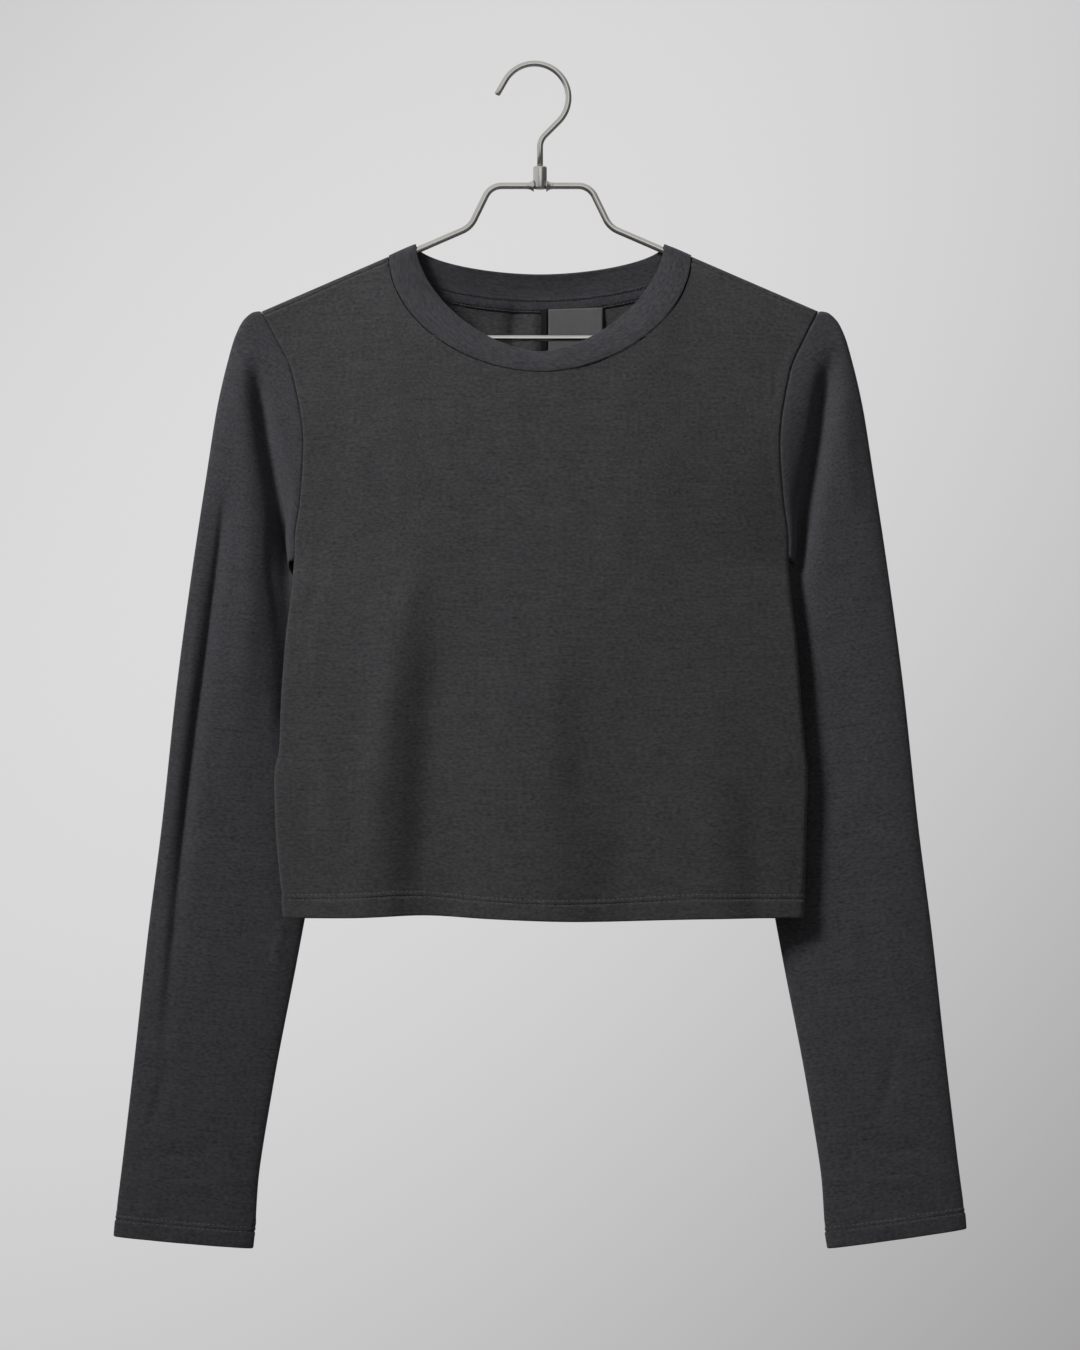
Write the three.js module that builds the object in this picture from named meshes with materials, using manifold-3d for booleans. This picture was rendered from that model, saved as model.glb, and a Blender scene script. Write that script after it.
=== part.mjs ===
// A long-sleeved crop top in jersey, hanging on a slim wire hanger. Millimetres, +Y to the back, +Z up. Left
// (-X) and right (+X) are as seen from the front. The origin is the point under the hook's crown where a rail
// bears, in line with the hook's stem.
import * as THREE from "three";
import { mergeVertices } from "three/addons/utils/BufferGeometryUtils.js";
import Module from "manifold-3d";

// Cloth walls and the clearances between the sewn pieces.
const clothWall = 1.2;
const hemOuter = 0.9; // the turned-up hem stands this far out of the middle surface
const hemInner = 1.5; // and this far in
const bandWall = 2;
const trimWall = 1;
const seamGap = 0.3;

// The hanger: one closed wire frame, a brazed socket and a hook.
const frameWire = 2.2; // wire radius
const bridge = { z: -79.2, half: 33, bend: 12 };
const knee = { x: 46.5, z: -106.8, bend: 16 };
const armSlope = THREE.MathUtils.degToRad(23.4);
const barZ = -180.7;
const armEndBend = 8.4;
const hook = { wire: 2, bend: 22.67, crownX: -3.67, tipAngle: 150, neckAngle: -45, tip: 11, stemBend: 11 };
const socket = { radius: 4.55, topZ: -66.1, bottomZ: -80.8, bore: 2.3, floorZ: -74.5, round: 1.2 };

// The top, measured along and across its panels.
const shoulderX = 185.2; // shoulder tip to the middle plane
const neckX = 101; // neck seam at the shoulder to the middle plane
const bodyDrop = 402.4; // shoulder tip to hem
const underarmDrop = 165; // shoulder tip to the underarm point
const ridgeBend = frameWire + 0.4 + clothWall / 2; // the cloth's bend over the wire and down each side
const bandBend = frameWire + 0.4 + bandWall / 2;

// Half-width of the body on each side, by drop below the shoulder tip: armhole seam, then side seam.
const bodySides = [
  { drop: 0, left: 185.2, right: 185.2 },
  { drop: 14, left: 177.6, right: 178 },
  { drop: 41, left: 164.7, right: 166.3 },
  { drop: 88, left: 157.3, right: 159.6 },
  { drop: 126, left: 159.8, right: 162.2 },
  { drop: 150, left: 163.3, right: 165.4 },
  { drop: 165, left: 163.6, right: 165.6 },
  { drop: 188, left: 165.3, right: 167 },
  { drop: 217, left: 168.8, right: 170.2 },
  { drop: 262, left: 172, right: 173.6 },
  { drop: 290, left: 172.9, right: 176 },
  { drop: 309, left: 176.4, right: 177.8 },
  { drop: 345, left: 175.4, right: 176.8 },
  { drop: 387, left: 171.6, right: 175.8 },
  { drop: 402.4, left: 170.2, right: 174.6 },
];

// The side seams lean to the front below the underarm, because the sleeves hang behind them.
const sideDepth = [
  { drop: 0, y: 0 },
  { drop: 165, y: 0 },
  { drop: 182, y: -3.6 },
  { drop: 217, y: -6.5 },
  { drop: 262, y: -8 },
  { drop: 402.4, y: -6.5 },
];

// What sets the front panel apart from the back one. fullness is how far the middle of the hem stands out.
const fullnessDrop = 60; // the drop below the ridge in which most of it is reached
const frontPanel = {
  out: -1,
  neckDrop: 77.8,
  neckPower: 1.9,
  armholeDepth: 11,
  armholeEase: 0,
  fullness: 22,
  fullnessPower: 2.6,
  neckAngles: [90, 80, 70, 60, 50, 41, 32, 23, 15, 8, 3, 1],
  shoulderShares: [0, 0.16, 0.34, 0.52, 0.7, 0.86, 0.956, 0.988, 1],
  // Drape folds that open towards the hem. height is out of the panel, and negative for a trough.
  folds: [
    { topX: -84, topZ: -300, hemX: -117, width: 27, height: 7 },
    { topX: -62, topZ: -290, hemX: -66, width: 24, height: -7.5 },
    { topX: -8, topZ: -330, hemX: 4, width: 28, height: 5 },
    { topX: 58, topZ: -350, hemX: 54, width: 26, height: -4 },
    { topX: 116, topZ: -370, hemX: 121, width: 20, height: 4 },
    { topX: 140, topZ: -420, hemX: 145, width: 11, height: -3 },
  ],
};
const backPanel = {
  out: 1,
  neckDrop: 28,
  neckPower: 1.9,
  armholeDepth: 12,
  armholeEase: 3,
  fullness: 24,
  fullnessPower: 2,
  neckAngles: [90, 75, 60, 45, 31, 18, 7, 2],
  shoulderShares: [0, 0.2, 0.42, 0.64, 0.84, 0.956, 0.988, 1],
  folds: [
    { topX: 78, topZ: -330, hemX: 92, width: 26, height: 4.5 },
    { topX: 34, topZ: -320, hemX: 40, width: 24, height: -5 },
    { topX: -22, topZ: -340, hemX: -18, width: 27, height: 4.5 },
    { topX: -74, topZ: -330, hemX: -82, width: 24, height: -4 },
  ],
};
// Drops of the panels' rows below the shoulder tip.
const bodyRows = [
  0, 0.9, 3.2, 14, 30, 50, 72, 96, 120, 143, 158, 165, 172, 190, 217, 246, 276, 305, 332, 360, 387.6, 389,
  402.4,
];
const hemFrom = 388.4; // drop of the hem's stitching

// Sections of a sleeve, from the armhole to the cuff: the outer edge, the inner edge, and how far the front
// and back walls stand from the line between them. x is out from the middle plane.
const sleeveSections = [
  { outX: 185.2, outY: 0, outZ: -163.3, inX: 163.6, inY: 0, inZ: -328.3, front: 11, back: 12 },
  { outX: 190.5, outY: 0, outZ: -163.8, inX: 167.4, inY: 3.2, inZ: -329.4, front: 11, back: 12 },
  { outX: 197, outY: 0.5, outZ: -168.6, inX: 168, inY: 8.2, inZ: -333, front: 11, back: 12 },
  { outX: 202.6, outY: 1, outZ: -179, inX: 164, inY: 12.2, inZ: -341, front: 11, back: 12 },
  { outX: 208.3, outY: 2, outZ: -198, inX: 156, inY: 15, inZ: -356, front: 11, back: 12 },
  { outX: 214.8, outY: 3, outZ: -226, inX: 148, inY: 15.5, inZ: -378, front: 10.5, back: 11 },
  { outX: 222.6, outY: 5, outZ: -274, inX: 143.8, inY: 16.5, inZ: -410, front: 10, back: 10 },
  { outX: 232, outY: 7, outZ: -335.3, inX: 142.6, inY: 17, inZ: -448, front: 9.5, back: 9.5 },
  { outX: 242.3, outY: 8, outZ: -412, inX: 145.6, inY: 16.5, inZ: -494, front: 9, back: 9 },
  { outX: 252.6, outY: 9, outZ: -507, inX: 154.3, inY: 15.5, inZ: -548, front: 9, back: 8.5 },
  { outX: 262, outY: 9, outZ: -581, inX: 163.6, inY: 14, inZ: -599, front: 8.5, back: 8 },
  { outX: 271, outY: 9, outZ: -664, inX: 178.5, inY: 12, inZ: -677, front: 8, back: 7.5 },
  { outX: 279, outY: 9, outZ: -733, inX: 189, inY: 11, inZ: -745, front: 7.5, back: 7 },
  { outX: 283, outY: 9, outZ: -766, inX: 191, inY: 11, inZ: -774.4, front: 7.5, back: 7 },
  { outX: 284, outY: 9, outZ: -779.6, inX: 193, inY: 11, inZ: -787.8, front: 7, back: 6.5 },
];
// Each sleeve is two solids that meet at the elbow, so that both stay open inside. Its rings are placed by
// section number.
const elbowRing = 8;
const elbowGap = 0.002; // half the gap there, in sections
const sleeveRings = {
  upper: [0, 1, 2, 3, 3.5, 4, 4.5, 5, 5.5, 6, 6.5, 7, 7.5, elbowRing - elbowGap],
  lower: [elbowRing + elbowGap, 8.5, 9, 9.5, 10, 10.6, 11.2, 12, 12.9, 13.05, 14],
};
const sleeveHemFrom = 13;
const sleeveFreeFrom = 5; // the section from which the armhole's shape is gone
const cuffLiftFrom = 10;
// The long folds of each sleeve, as troughs in its front: x out from the middle plane.
const sleeveFolds = {
  left: [
    { ax: 195.5, az: -190, bx: 185.3, bz: -250, cx: 175.5, cz: -316, width: 6, depth: 8 },
    { ax: 181, az: -322, bx: 177, bz: -362, cx: 176, cz: -420, width: 6, depth: 5 },
    { ax: 214, az: -274, bx: 229, bz: -412, cx: 250, cz: -575, width: 6, depth: 3 },
  ],
  right: [
    { ax: 191, az: -184, bx: 185, bz: -235, cx: 175, cz: -316, width: 6, depth: 7.5 },
    { ax: 178, az: -318, bx: 175, bz: -362, cx: 175, cz: -420, width: 7, depth: 4 },
  ],
};
const cuffLift = { left: 0, right: 5 }; // the right cuff's outer corner hangs higher

// The neckband, between the neck seam and its folded top edge.
const bandTop = { x: 83.3, drop: { front: 72.8, back: 19.1 }, power: { front: 1.68, back: 1.8 } };
const bandTopDepth = { front: 14.5, back: 12 };
const bandAngles = {
  front: [0, 1, 3, 8, 15, 23, 32, 41, 50, 60, 70, 80],
  back: [0, 2, 7, 18, 31, 45, 60, 75],
};
const bandStations = [0, 0.34, 0.68, 1];
const bandClear = 0.72; // the band starts this far from the neck seam's line
const bandPower = 1.8; // it leaves the panel's slope late
const bandLiftDrop = 10; // the drop in which its thicker bend over the wire runs out

// Trims inside the back neck.
const tape = { halfX: 88, height: 8, columns: 18 };
const label = { x0: 5.3, x1: 42, z0: -160.5, z1: -192, lean: 2.2 };
const strip = { x0: 0, x1: 4.6, z0: -160.5, z1: -190, lean: 1.6 };
const tapeBelowSeam = 1;
const labelColumn = 9; // the widest column of a label

const lerp = (a, b, t) => a + (b - a) * t;
const clamp01 = (t) => Math.min(1, Math.max(0, t));
const smooth = (t) => clamp01(t) ** 2 * (3 - 2 * clamp01(t));

// The depth reached at a drop below a ridge that bends with this radius.
const roll = (drop, radius) =>
  drop >= radius ? radius : Math.sqrt(Math.max(0, radius ** 2 - (radius - drop) ** 2));

// A column of a table as a smooth function of its key column, with no overshoot between rows.
function column(table, key, name) {
  const x = table.map((row, i) => (key === "index" ? i : row[key]));
  const y = table.map((row) => row[name]);
  const rise = x.slice(1).map((next, i) => (y[i + 1] - y[i]) / (next - x[i]));
  const slope = y.map((_, i) => {
    if (i === 0) return rise[0];
    if (i === y.length - 1) return rise[i - 1];
    return rise[i - 1] * rise[i] <= 0 ? 0 : (2 * rise[i - 1] * rise[i]) / (rise[i - 1] + rise[i]);
  });
  return (at) => {
    let i = 0;
    while (i < x.length - 2 && at > x[i + 1]) i++;
    const width = x[i + 1] - x[i];
    const t = clamp01((at - x[i]) / width);
    const h = t * t * (3 - 2 * t);
    const start = t * (1 - t) ** 2 * width * slope[i];
    const end = t * t * (t - 1) * width * slope[i + 1];
    return y[i] * (1 - h) + y[i + 1] * h + start + end;
  };
}

const halfWidth = { left: column(bodySides, "drop", "left"), right: column(bodySides, "drop", "right") };
const seamDepth = column(sideDepth, "drop", "y");
const sideName = (sign) => (sign < 0 ? "left" : "right");

const armZ = (x) => knee.z - (Math.abs(x) - knee.x) * Math.tan(armSlope);
const ridgeZ = (x) => armZ(x) + ridgeBend / Math.cos(armSlope);
const tipZ = ridgeZ(shoulderX);

// The hem's own line: it lifts a little over the left trough and dips right of the middle.
const hemWaves = [
  { x: -80, width: 35, height: 2.1 },
  { x: 35, width: 55, height: -1.9 },
];
const bell = (away) => Math.exp(-away * away);
const hemWave = (x) => hemWaves.reduce((sum, wave) => sum + wave.height * bell((x - wave.x) / wave.width), 0);
const hemZ = (x) => tipZ - bodyDrop + hemWave(x);

// The depth of a panel's body at x and z, out from the middle plane, without its folds. width is the
// half-width of the panel there.
const ridgeTop = 40; // rounds the ridge's peak, out from the middle
function bodyDepth(panel, x, z, width) {
  const below = Math.max(0, ridgeZ(Math.hypot(x, ridgeTop)) - z);
  const filled = 1 - Math.exp(-below / fullnessDrop);
  return ridgeBend + panel.fullness * filled * (1 - Math.min(1, Math.abs(x) / width) ** panel.fullnessPower);
}

// How far an armhole seam stands out from the body's edge, by its share from the shoulder to the underarm.
const armholeRise = (panel, share) => (panel.armholeDepth - ridgeBend) * Math.sin(Math.PI * share) ** 2;

// A column of a panel: the top end on the neck seam or the shoulder, and its share of the hem's half-width.
const neckShare = 0.575; // the share of the hem that hangs below the neck
function neckColumn(panel, degrees, sign) {
  const angle = THREE.MathUtils.degToRad(degrees);
  const x = neckX * Math.abs(Math.cos(angle)) ** (2 / panel.neckPower);
  const drop = panel.neckDrop * Math.sin(angle) ** (2 / panel.neckPower);
  return {
    x: sign * x,
    z: ridgeZ(neckX) - drop,
    ridge: 1 - roll(drop, ridgeBend) / ridgeBend,
    share: sign * neckShare * (1 - degrees / 90),
  };
}
function shoulderColumn(share, sign) {
  const x = lerp(neckX, shoulderX, share);
  return { x: sign * x, z: ridgeZ(x), ridge: 1, share: sign * lerp(neckShare, 1, share) };
}
function panelColumns(panel) {
  const half = (sign) => [
    ...panel.neckAngles.map((degrees) => neckColumn(panel, degrees, sign)),
    ...panel.shoulderShares.map((share) => shoulderColumn(share, sign)),
  ];
  return [...half(-1).reverse(), ...half(1).slice(1)];
}

const foldHeight = (panel, x, z) =>
  panel.folds.reduce((sum, fold) => {
    const down = clamp01((fold.topZ - z) / (fold.topZ - (tipZ - bodyDrop)));
    const away = (x - lerp(fold.topX, fold.hemX, down)) / fold.width;
    return sum + fold.height * smooth(down) * bell(away);
  }, 0);

// A point of a panel's middle surface, from a column and the drop of its row.
const edgePower = 3; // how closely a panel's side keeps to its edge
// How far a panel's edge stands out of the straight line from the shoulder tip to the hem's corner.
function sideBow(panel, side, level) {
  const ease = panel.armholeEase * Math.sin(Math.PI * clamp01(level / underarmDrop));
  return side(level) + ease - lerp(shoulderX, side(bodyDrop), level / bodyDrop);
}

function panelPoint(panel, top, rowDrop) {
  const v = rowDrop / bodyDrop;
  const sign = Math.sign(top.share) || 1;
  const side = halfWidth[sideName(sign)];
  const hemX = top.share * side(bodyDrop);
  const z = lerp(top.z, hemZ(hemX), v);
  const level = Math.max(0, tipZ - z);
  const topLevel = Math.max(0, tipZ - top.z);
  const bow = sideBow(panel, side, level) - sideBow(panel, side, topLevel) * (1 - v);
  const x = lerp(top.x, hemX, v) + sign * top.share ** 2 * bow;
  const edge = Math.min(1, Math.abs(x) / side(level)) ** edgePower;
  const rise = armholeRise(panel, clamp01(level / underarmDrop));
  const atSide = panel.out * seamDepth(level) + rise;
  const depth = bodyDepth(panel, x, z, side(level)) + edge * atSide + (1 - edge) * foldHeight(panel, x, z);
  // The ridge over the hanger's arm, and the turn of the cloth into the side seam.
  const overArm = top.ridge * (ridgeBend - roll(top.z - z, ridgeBend));
  const fromSide = side(level) - Math.abs(x);
  const turn = 1 - roll(Math.max(0, underarmDrop - level), ridgeBend) / ridgeBend;
  const intoSeam = turn * (ridgeBend - roll(Math.max(0, fromSide), ridgeBend));
  return new THREE.Vector3(x, panel.out * (depth - Math.max(overArm, intoSeam)), z);
}

// The point of a panel at x and z, found along a row of columns by halving.
function panelAt(panel, x, z) {
  const columns = panelColumns(panel);
  const pointOf = (top) => panelPoint(panel, top, (bodyDrop * (top.z - z)) / (top.z - hemZ(x)));
  let low = 0;
  let high = columns.length - 1;
  while (high - low > 1) {
    const middle = (low + high) >> 1;
    if (pointOf(columns[middle]).x < x) low = middle;
    else high = middle;
  }
  const a = pointOf(columns[low]);
  const b = pointOf(columns[high]);
  return a.lerp(b, (x - a.x) / (b.x - a.x));
}

// The middle surface's normals, from its neighbours along both directions.
function gridNormals(grid, closed) {
  const rows = grid.length;
  const cols = grid[0].length;
  const wrap = (j) => (closed ? (j + cols) % cols : Math.min(cols - 1, Math.max(0, j)));
  const normals = grid.map((row, i) =>
    row.map((_, j) => {
      const across = new THREE.Vector3().subVectors(row[wrap(j + 1)], row[wrap(j - 1)]);
      const above = grid[Math.max(0, i - 1)][j];
      const below = grid[Math.min(rows - 1, i + 1)][j];
      const down = new THREE.Vector3().subVectors(below, above);
      return new THREE.Vector3().crossVectors(down, across).normalize();
    }),
  );
  return normals;
}

// Turns every normal of a grid round.
const turnRound = (normals) => normals.forEach((row) => row.forEach((n) => n.negate()));
const reversedRows = (grid) => grid.map((row) => [...row].reverse());

// A closed wall round a grid of points. The grid's normals point out of the garment; offsets say how far
// the two faces stand from the points.
function wallGeometry(grid, { closed = false, normals, offsets }) {
  const rows = grid.length;
  const cols = grid[0].length;
  const positions = [];
  const at = (face, i, j) => (face * rows + i) * cols + (closed ? (j + cols) % cols : j);
  for (const face of [0, 1])
    grid.forEach((row, i) =>
      row.forEach((point, j) => {
        const { outer, inner } = offsets(i, j);
        positions.push(...point.clone().addScaledVector(normals[i][j], face ? -inner : outer));
      }),
    );
  const index = [];
  const quad = (a, b, c, d) => index.push(a, b, c, a, c, d);
  const lastCol = closed ? cols : cols - 1;
  for (let i = 0; i < rows - 1; i++)
    for (let j = 0; j < lastCol; j++) {
      quad(at(0, i, j), at(0, i + 1, j), at(0, i + 1, j + 1), at(0, i, j + 1));
      quad(at(1, i, j), at(1, i, j + 1), at(1, i + 1, j + 1), at(1, i + 1, j));
    }
  for (let j = 0; j < lastCol; j++) {
    quad(at(0, 0, j), at(0, 0, j + 1), at(1, 0, j + 1), at(1, 0, j));
    quad(at(0, rows - 1, j), at(1, rows - 1, j), at(1, rows - 1, j + 1), at(0, rows - 1, j + 1));
  }
  if (!closed)
    for (let i = 0; i < rows - 1; i++) {
      quad(at(0, i, 0), at(1, i, 0), at(1, i + 1, 0), at(0, i + 1, 0));
      quad(at(0, i, cols - 1), at(0, i + 1, cols - 1), at(1, i + 1, cols - 1), at(1, i, cols - 1));
    }
  return new THREE.BufferGeometry()
    .setAttribute("position", new THREE.Float32BufferAttribute(positions, 3))
    .setIndex(index);
}

const flat = { outer: clothWall / 2, inner: clothWall / 2 };
const hem = { outer: hemOuter, inner: hemInner };

// Both pieces at an armhole seam turn their edges this way, so that they meet square. The first and the last
// bit of the seam face up and down.
const armholeLean = 0.14;
const armholeEnd = 0.02;
function armholeNormal(panel, sign, share) {
  const lean = armholeLean * Math.sin(Math.PI * share);
  const up = smooth(1 - share / armholeEnd);
  const down = smooth((share - 1 + armholeEnd) / armholeEnd);
  const x = sign * (Math.sin(armSlope) * up + lean * (1 - up));
  const y = panel.out * (1 - up) * (1 - down);
  return new THREE.Vector3(x, y, Math.cos(armSlope) * up - down).normalize();
}

// A body panel. Its edges stop short of the seams, and turn square to them.
function panelGeometry(panel) {
  const columns = panelColumns(panel);
  const grid = bodyRows.map((drop) => columns.map((top) => panelPoint(panel, top, drop)));
  const last = columns.length - 1;
  const normals = gridNormals(grid, false);
  normals.forEach((row) => row.forEach((n) => n.multiplyScalar(Math.sign(n.y) * panel.out || 1)));
  columns.forEach((top, j) => {
    if (Math.abs(top.share) < neckShare - 1e-6) return;
    const sign = Math.sign(top.share);
    normals[0][j].set(sign * Math.sin(armSlope), 0, Math.cos(armSlope));
    grid[0][j].y += (panel.out * seamGap) / 2;
  });
  bodyRows.forEach((drop, i) => {
    for (const [j, sign] of [[0, -1], [last, 1]]) {
      if (drop <= underarmDrop) {
        normals[i][j].copy(armholeNormal(panel, sign, drop / underarmDrop));
        grid[i][j].x -= (sign * seamGap) / 2;
      } else {
        normals[i][j].set(sign, 0, 0);
        grid[i][j].y += (panel.out * seamGap) / 2;
      }
    }
  });
  return wallGeometry(panel.out < 0 ? grid : reversedRows(grid), {
    normals: panel.out < 0 ? normals : reversedRows(normals),
    offsets: (i) => (bodyRows[i] > hemFrom ? hem : flat),
  });
}

// How far the folds push a sleeve's front wall back at x (out from the middle plane) and z. Each starts at a
// share of its depth and reaches all of it within a quarter of its run.
const foldStart = 0.2;
const foldEnd = 0.25;
function sleeveTrough(folds, x, z) {
  return folds.reduce((sum, fold) => {
    const upper = z > fold.bz;
    const t = upper ? (fold.az - z) / (fold.az - fold.bz) : (fold.bz - z) / (fold.bz - fold.cz);
    const line = upper ? lerp(fold.ax, fold.bx, t) : lerp(fold.bx, fold.cx, t);
    const run = upper ? t / 2 : 0.5 + t / 2;
    const ends = smooth(run / foldEnd + foldStart) * smooth((1 - run) / foldEnd + foldStart);
    return sum + fold.depth * ends * bell((x - line) / fold.width);
  }, 0);
}

// One part of a sleeve: rings from the armhole seam to the cuff, each round the chord between its outer and
// inner edge.
const sleeveFullness = 0.4; // how full a ring is towards its two edges
function sleeveGeometry(sign, part) {
  const name = sideName(sign);
  const at = (columnName) => column(sleeveSections, "index", columnName);
  const outX = at("outX");
  const outY = at("outY");
  const outZ = at("outZ");
  const inX = at("inX");
  const inY = at("inY");
  const inZ = at("inZ");
  const reach = { front: at("front"), back: at("back") };
  const sections = sleeveSections.length - 1;
  const armRows = bodyRows.filter((drop) => drop <= underarmDrop);
  const stepsOf = (face) => armRows.map((drop, step) => ({ face, share: drop / underarmDrop, step }));
  const around = [...stepsOf("front").slice(0, -1), ...stepsOf("back").slice(1).reverse()];
  const place = (ring, face, seamShare, step) => {
    const panel = face === "front" ? frontPanel : backPanel;
    const free = smooth(ring / sleeveFreeFrom);
    const share = lerp(seamShare, (1 - Math.cos((Math.PI * step) / (armRows.length - 1))) / 2, free);
    const drop = underarmDrop * share;
    const width = halfWidth[name];
    const ease = panel.armholeEase * Math.sin(Math.PI * share);
    const bow = width(drop) + ease - lerp(shoulderX, width(underarmDrop), share);
    const spare = width(underarmDrop) - halfWidth.left(underarmDrop);
    const innerShift = spare * (1 - smooth(ring / sleeveFreeFrom - 0.3));
    const lift = cuffLift[name] * smooth((ring - cuffLiftFrom) / (sections - cuffLiftFrom)) * (1 - share);
    const x = lerp(outX(ring), inX(ring) + innerShift, share) + bow * (1 - free);
    const z = lerp(outZ(ring), inZ(ring), share) + lift;
    const nearEdge = Math.min(drop, underarmDrop - drop);
    const seam = roll(nearEdge, ridgeBend) + armholeRise(panel, share);
    const loose = reach[face](ring) * (4 * share * (1 - share)) ** sleeveFullness;
    const middle = lerp(outY(ring), inY(ring), share);
    const trough = face === "front" ? sleeveTrough(sleeveFolds[name], x, z) * smooth(ring / 3) : 0;
    return new THREE.Vector3(sign * x, middle + panel.out * lerp(seam, loose, free) + trough, z);
  };
  const rings = sleeveRings[part];
  const grid = rings.map((ring) => around.map(({ face, share, step }) => place(ring, face, share, step)));
  const normals = gridNormals(grid, true);
  const frontColumn = 3; // a column on the front wall, whose normals face the front
  if (normals[4][frontColumn].y > 0) turnRound(normals);
  if (part === "upper")
    around.forEach(({ face, share }, j) => {
      normals[0][j].copy(armholeNormal(face === "front" ? frontPanel : backPanel, sign, share));
      grid[0][j].x += (sign * seamGap) / 2;
    });
  return wallGeometry(sign < 0 ? grid : reversedRows(grid), {
    closed: true,
    normals: sign < 0 ? normals : reversedRows(normals),
    offsets: (i) => (rings[i] > sleeveHemFrom ? hem : flat),
  });
}

// The neckband: stations from the neck seam up to the folded edge, round the neck.
function neckbandGeometry() {
  const ring = [];
  for (const [face, panel, first] of [["front", frontPanel, -1], ["back", backPanel, 1]]) {
    const half = (sign) => bandAngles[face].map((degrees) => ({ face, panel, degrees, sign }));
    ring.push(...half(first), { face, panel, degrees: 90, sign: 1 }, ...half(-first).slice(1).reverse());
  }
  const grid = bandStations.map((station) =>
    ring.map(({ face, panel, degrees, sign }) => {
      const angle = THREE.MathUtils.degToRad(degrees);
      const seamX = neckX * Math.abs(Math.cos(angle)) ** (2 / panel.neckPower);
      const seamDrop = panel.neckDrop * Math.sin(angle) ** (2 / panel.neckPower);
      const topX = bandTop.x * Math.abs(Math.cos(angle)) ** (2 / bandTop.power[face]);
      const topDrop = bandTop.drop[face] * Math.sin(angle) ** (2 / bandTop.power[face]);
      const bandZ = (x) => armZ(x) + bandBend / Math.cos(armSlope);
      const lift = (bandBend - ridgeBend) * (1 - clamp01(seamDrop / bandLiftDrop));
      const seam = new THREE.Vector3(seamX, 0, ridgeZ(neckX) + lift - seamDrop);
      const top = new THREE.Vector3(topX, 0, bandZ(bandTop.x) - topDrop);
      const seamY = roll(seamDrop, bandBend) + bodyDepth(panel, seamX, seam.z, shoulderX) - ridgeBend;
      const topY = roll(topDrop, bandBend) + (bandTopDepth[face] - bandBend) * (1 - (topX / bandTop.x) ** 2);
      const t = lerp(bandClear / seam.distanceTo(top), 1, station);
      const point = seam.lerp(top, t);
      return new THREE.Vector3(sign * point.x, panel.out * lerp(seamY, topY, t ** bandPower), point.z);
    }),
  );
  const normals = gridNormals(grid, true);
  if (normals[1][bandAngles.front.length].y > 0) turnRound(normals);
  return wallGeometry([...grid].reverse(), {
    closed: true,
    normals: [...normals].reverse(),
    offsets: () => ({ outer: bandWall / 2, inner: bandWall / 2 }),
  });
}

// A flat trim inside the back neck, on the back panel's points moved in by this distance.
function trimGeometry(columnsX, rowsOf, away) {
  const rows = rowsOf(columnsX[0]).length;
  const grid = Array.from({ length: rows }, (_, i) =>
    columnsX.map((x) => {
      const point = panelAt(backPanel, x, rowsOf(x)[i]);
      point.y -= away(i / (rows - 1), x);
      return point;
    }),
  );
  const normals = gridNormals(grid, false);
  normals.forEach((row) => row.forEach((n) => n.multiplyScalar(-Math.sign(n.y) || 1)));
  return wallGeometry(grid, { normals, offsets: () => ({ outer: trimWall / 2, inner: trimWall / 2 }) });
}
const spread = (from, to, steps) => Array.from({ length: steps + 1 }, (_, k) => lerp(from, to, k / steps));
const clearOfBack = clothWall / 2 + trimWall / 2 + seamGap;
function backSeamZ(x) {
  const { neckDrop, neckPower } = backPanel;
  return ridgeZ(neckX) - neckDrop * (1 - Math.abs(x / neckX) ** neckPower) ** (1 / neckPower);
}

function tapeGeometry() {
  const topZ = (x) => backSeamZ(x) - tapeBelowSeam;
  const rowsOf = (x) => spread(topZ(x), topZ(x) - tape.height, 2);
  return trimGeometry(spread(-tape.halfX, tape.halfX, tape.columns), rowsOf, () => clearOfBack);
}

// A label hangs from under the tape, clear of it, and leans away from the back towards its lower end.
function labelGeometry({ x0, x1, z0, z1, lean }) {
  const clearOfTape = 2 * clearOfBack + 0.2;
  const away = (down) => clearOfTape + lean * Math.sin((Math.PI * down) / 2);
  return trimGeometry(spread(x0, x1, Math.ceil((x1 - x0) / labelColumn)), () => spread(z0, z1, 4), away);
}

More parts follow.
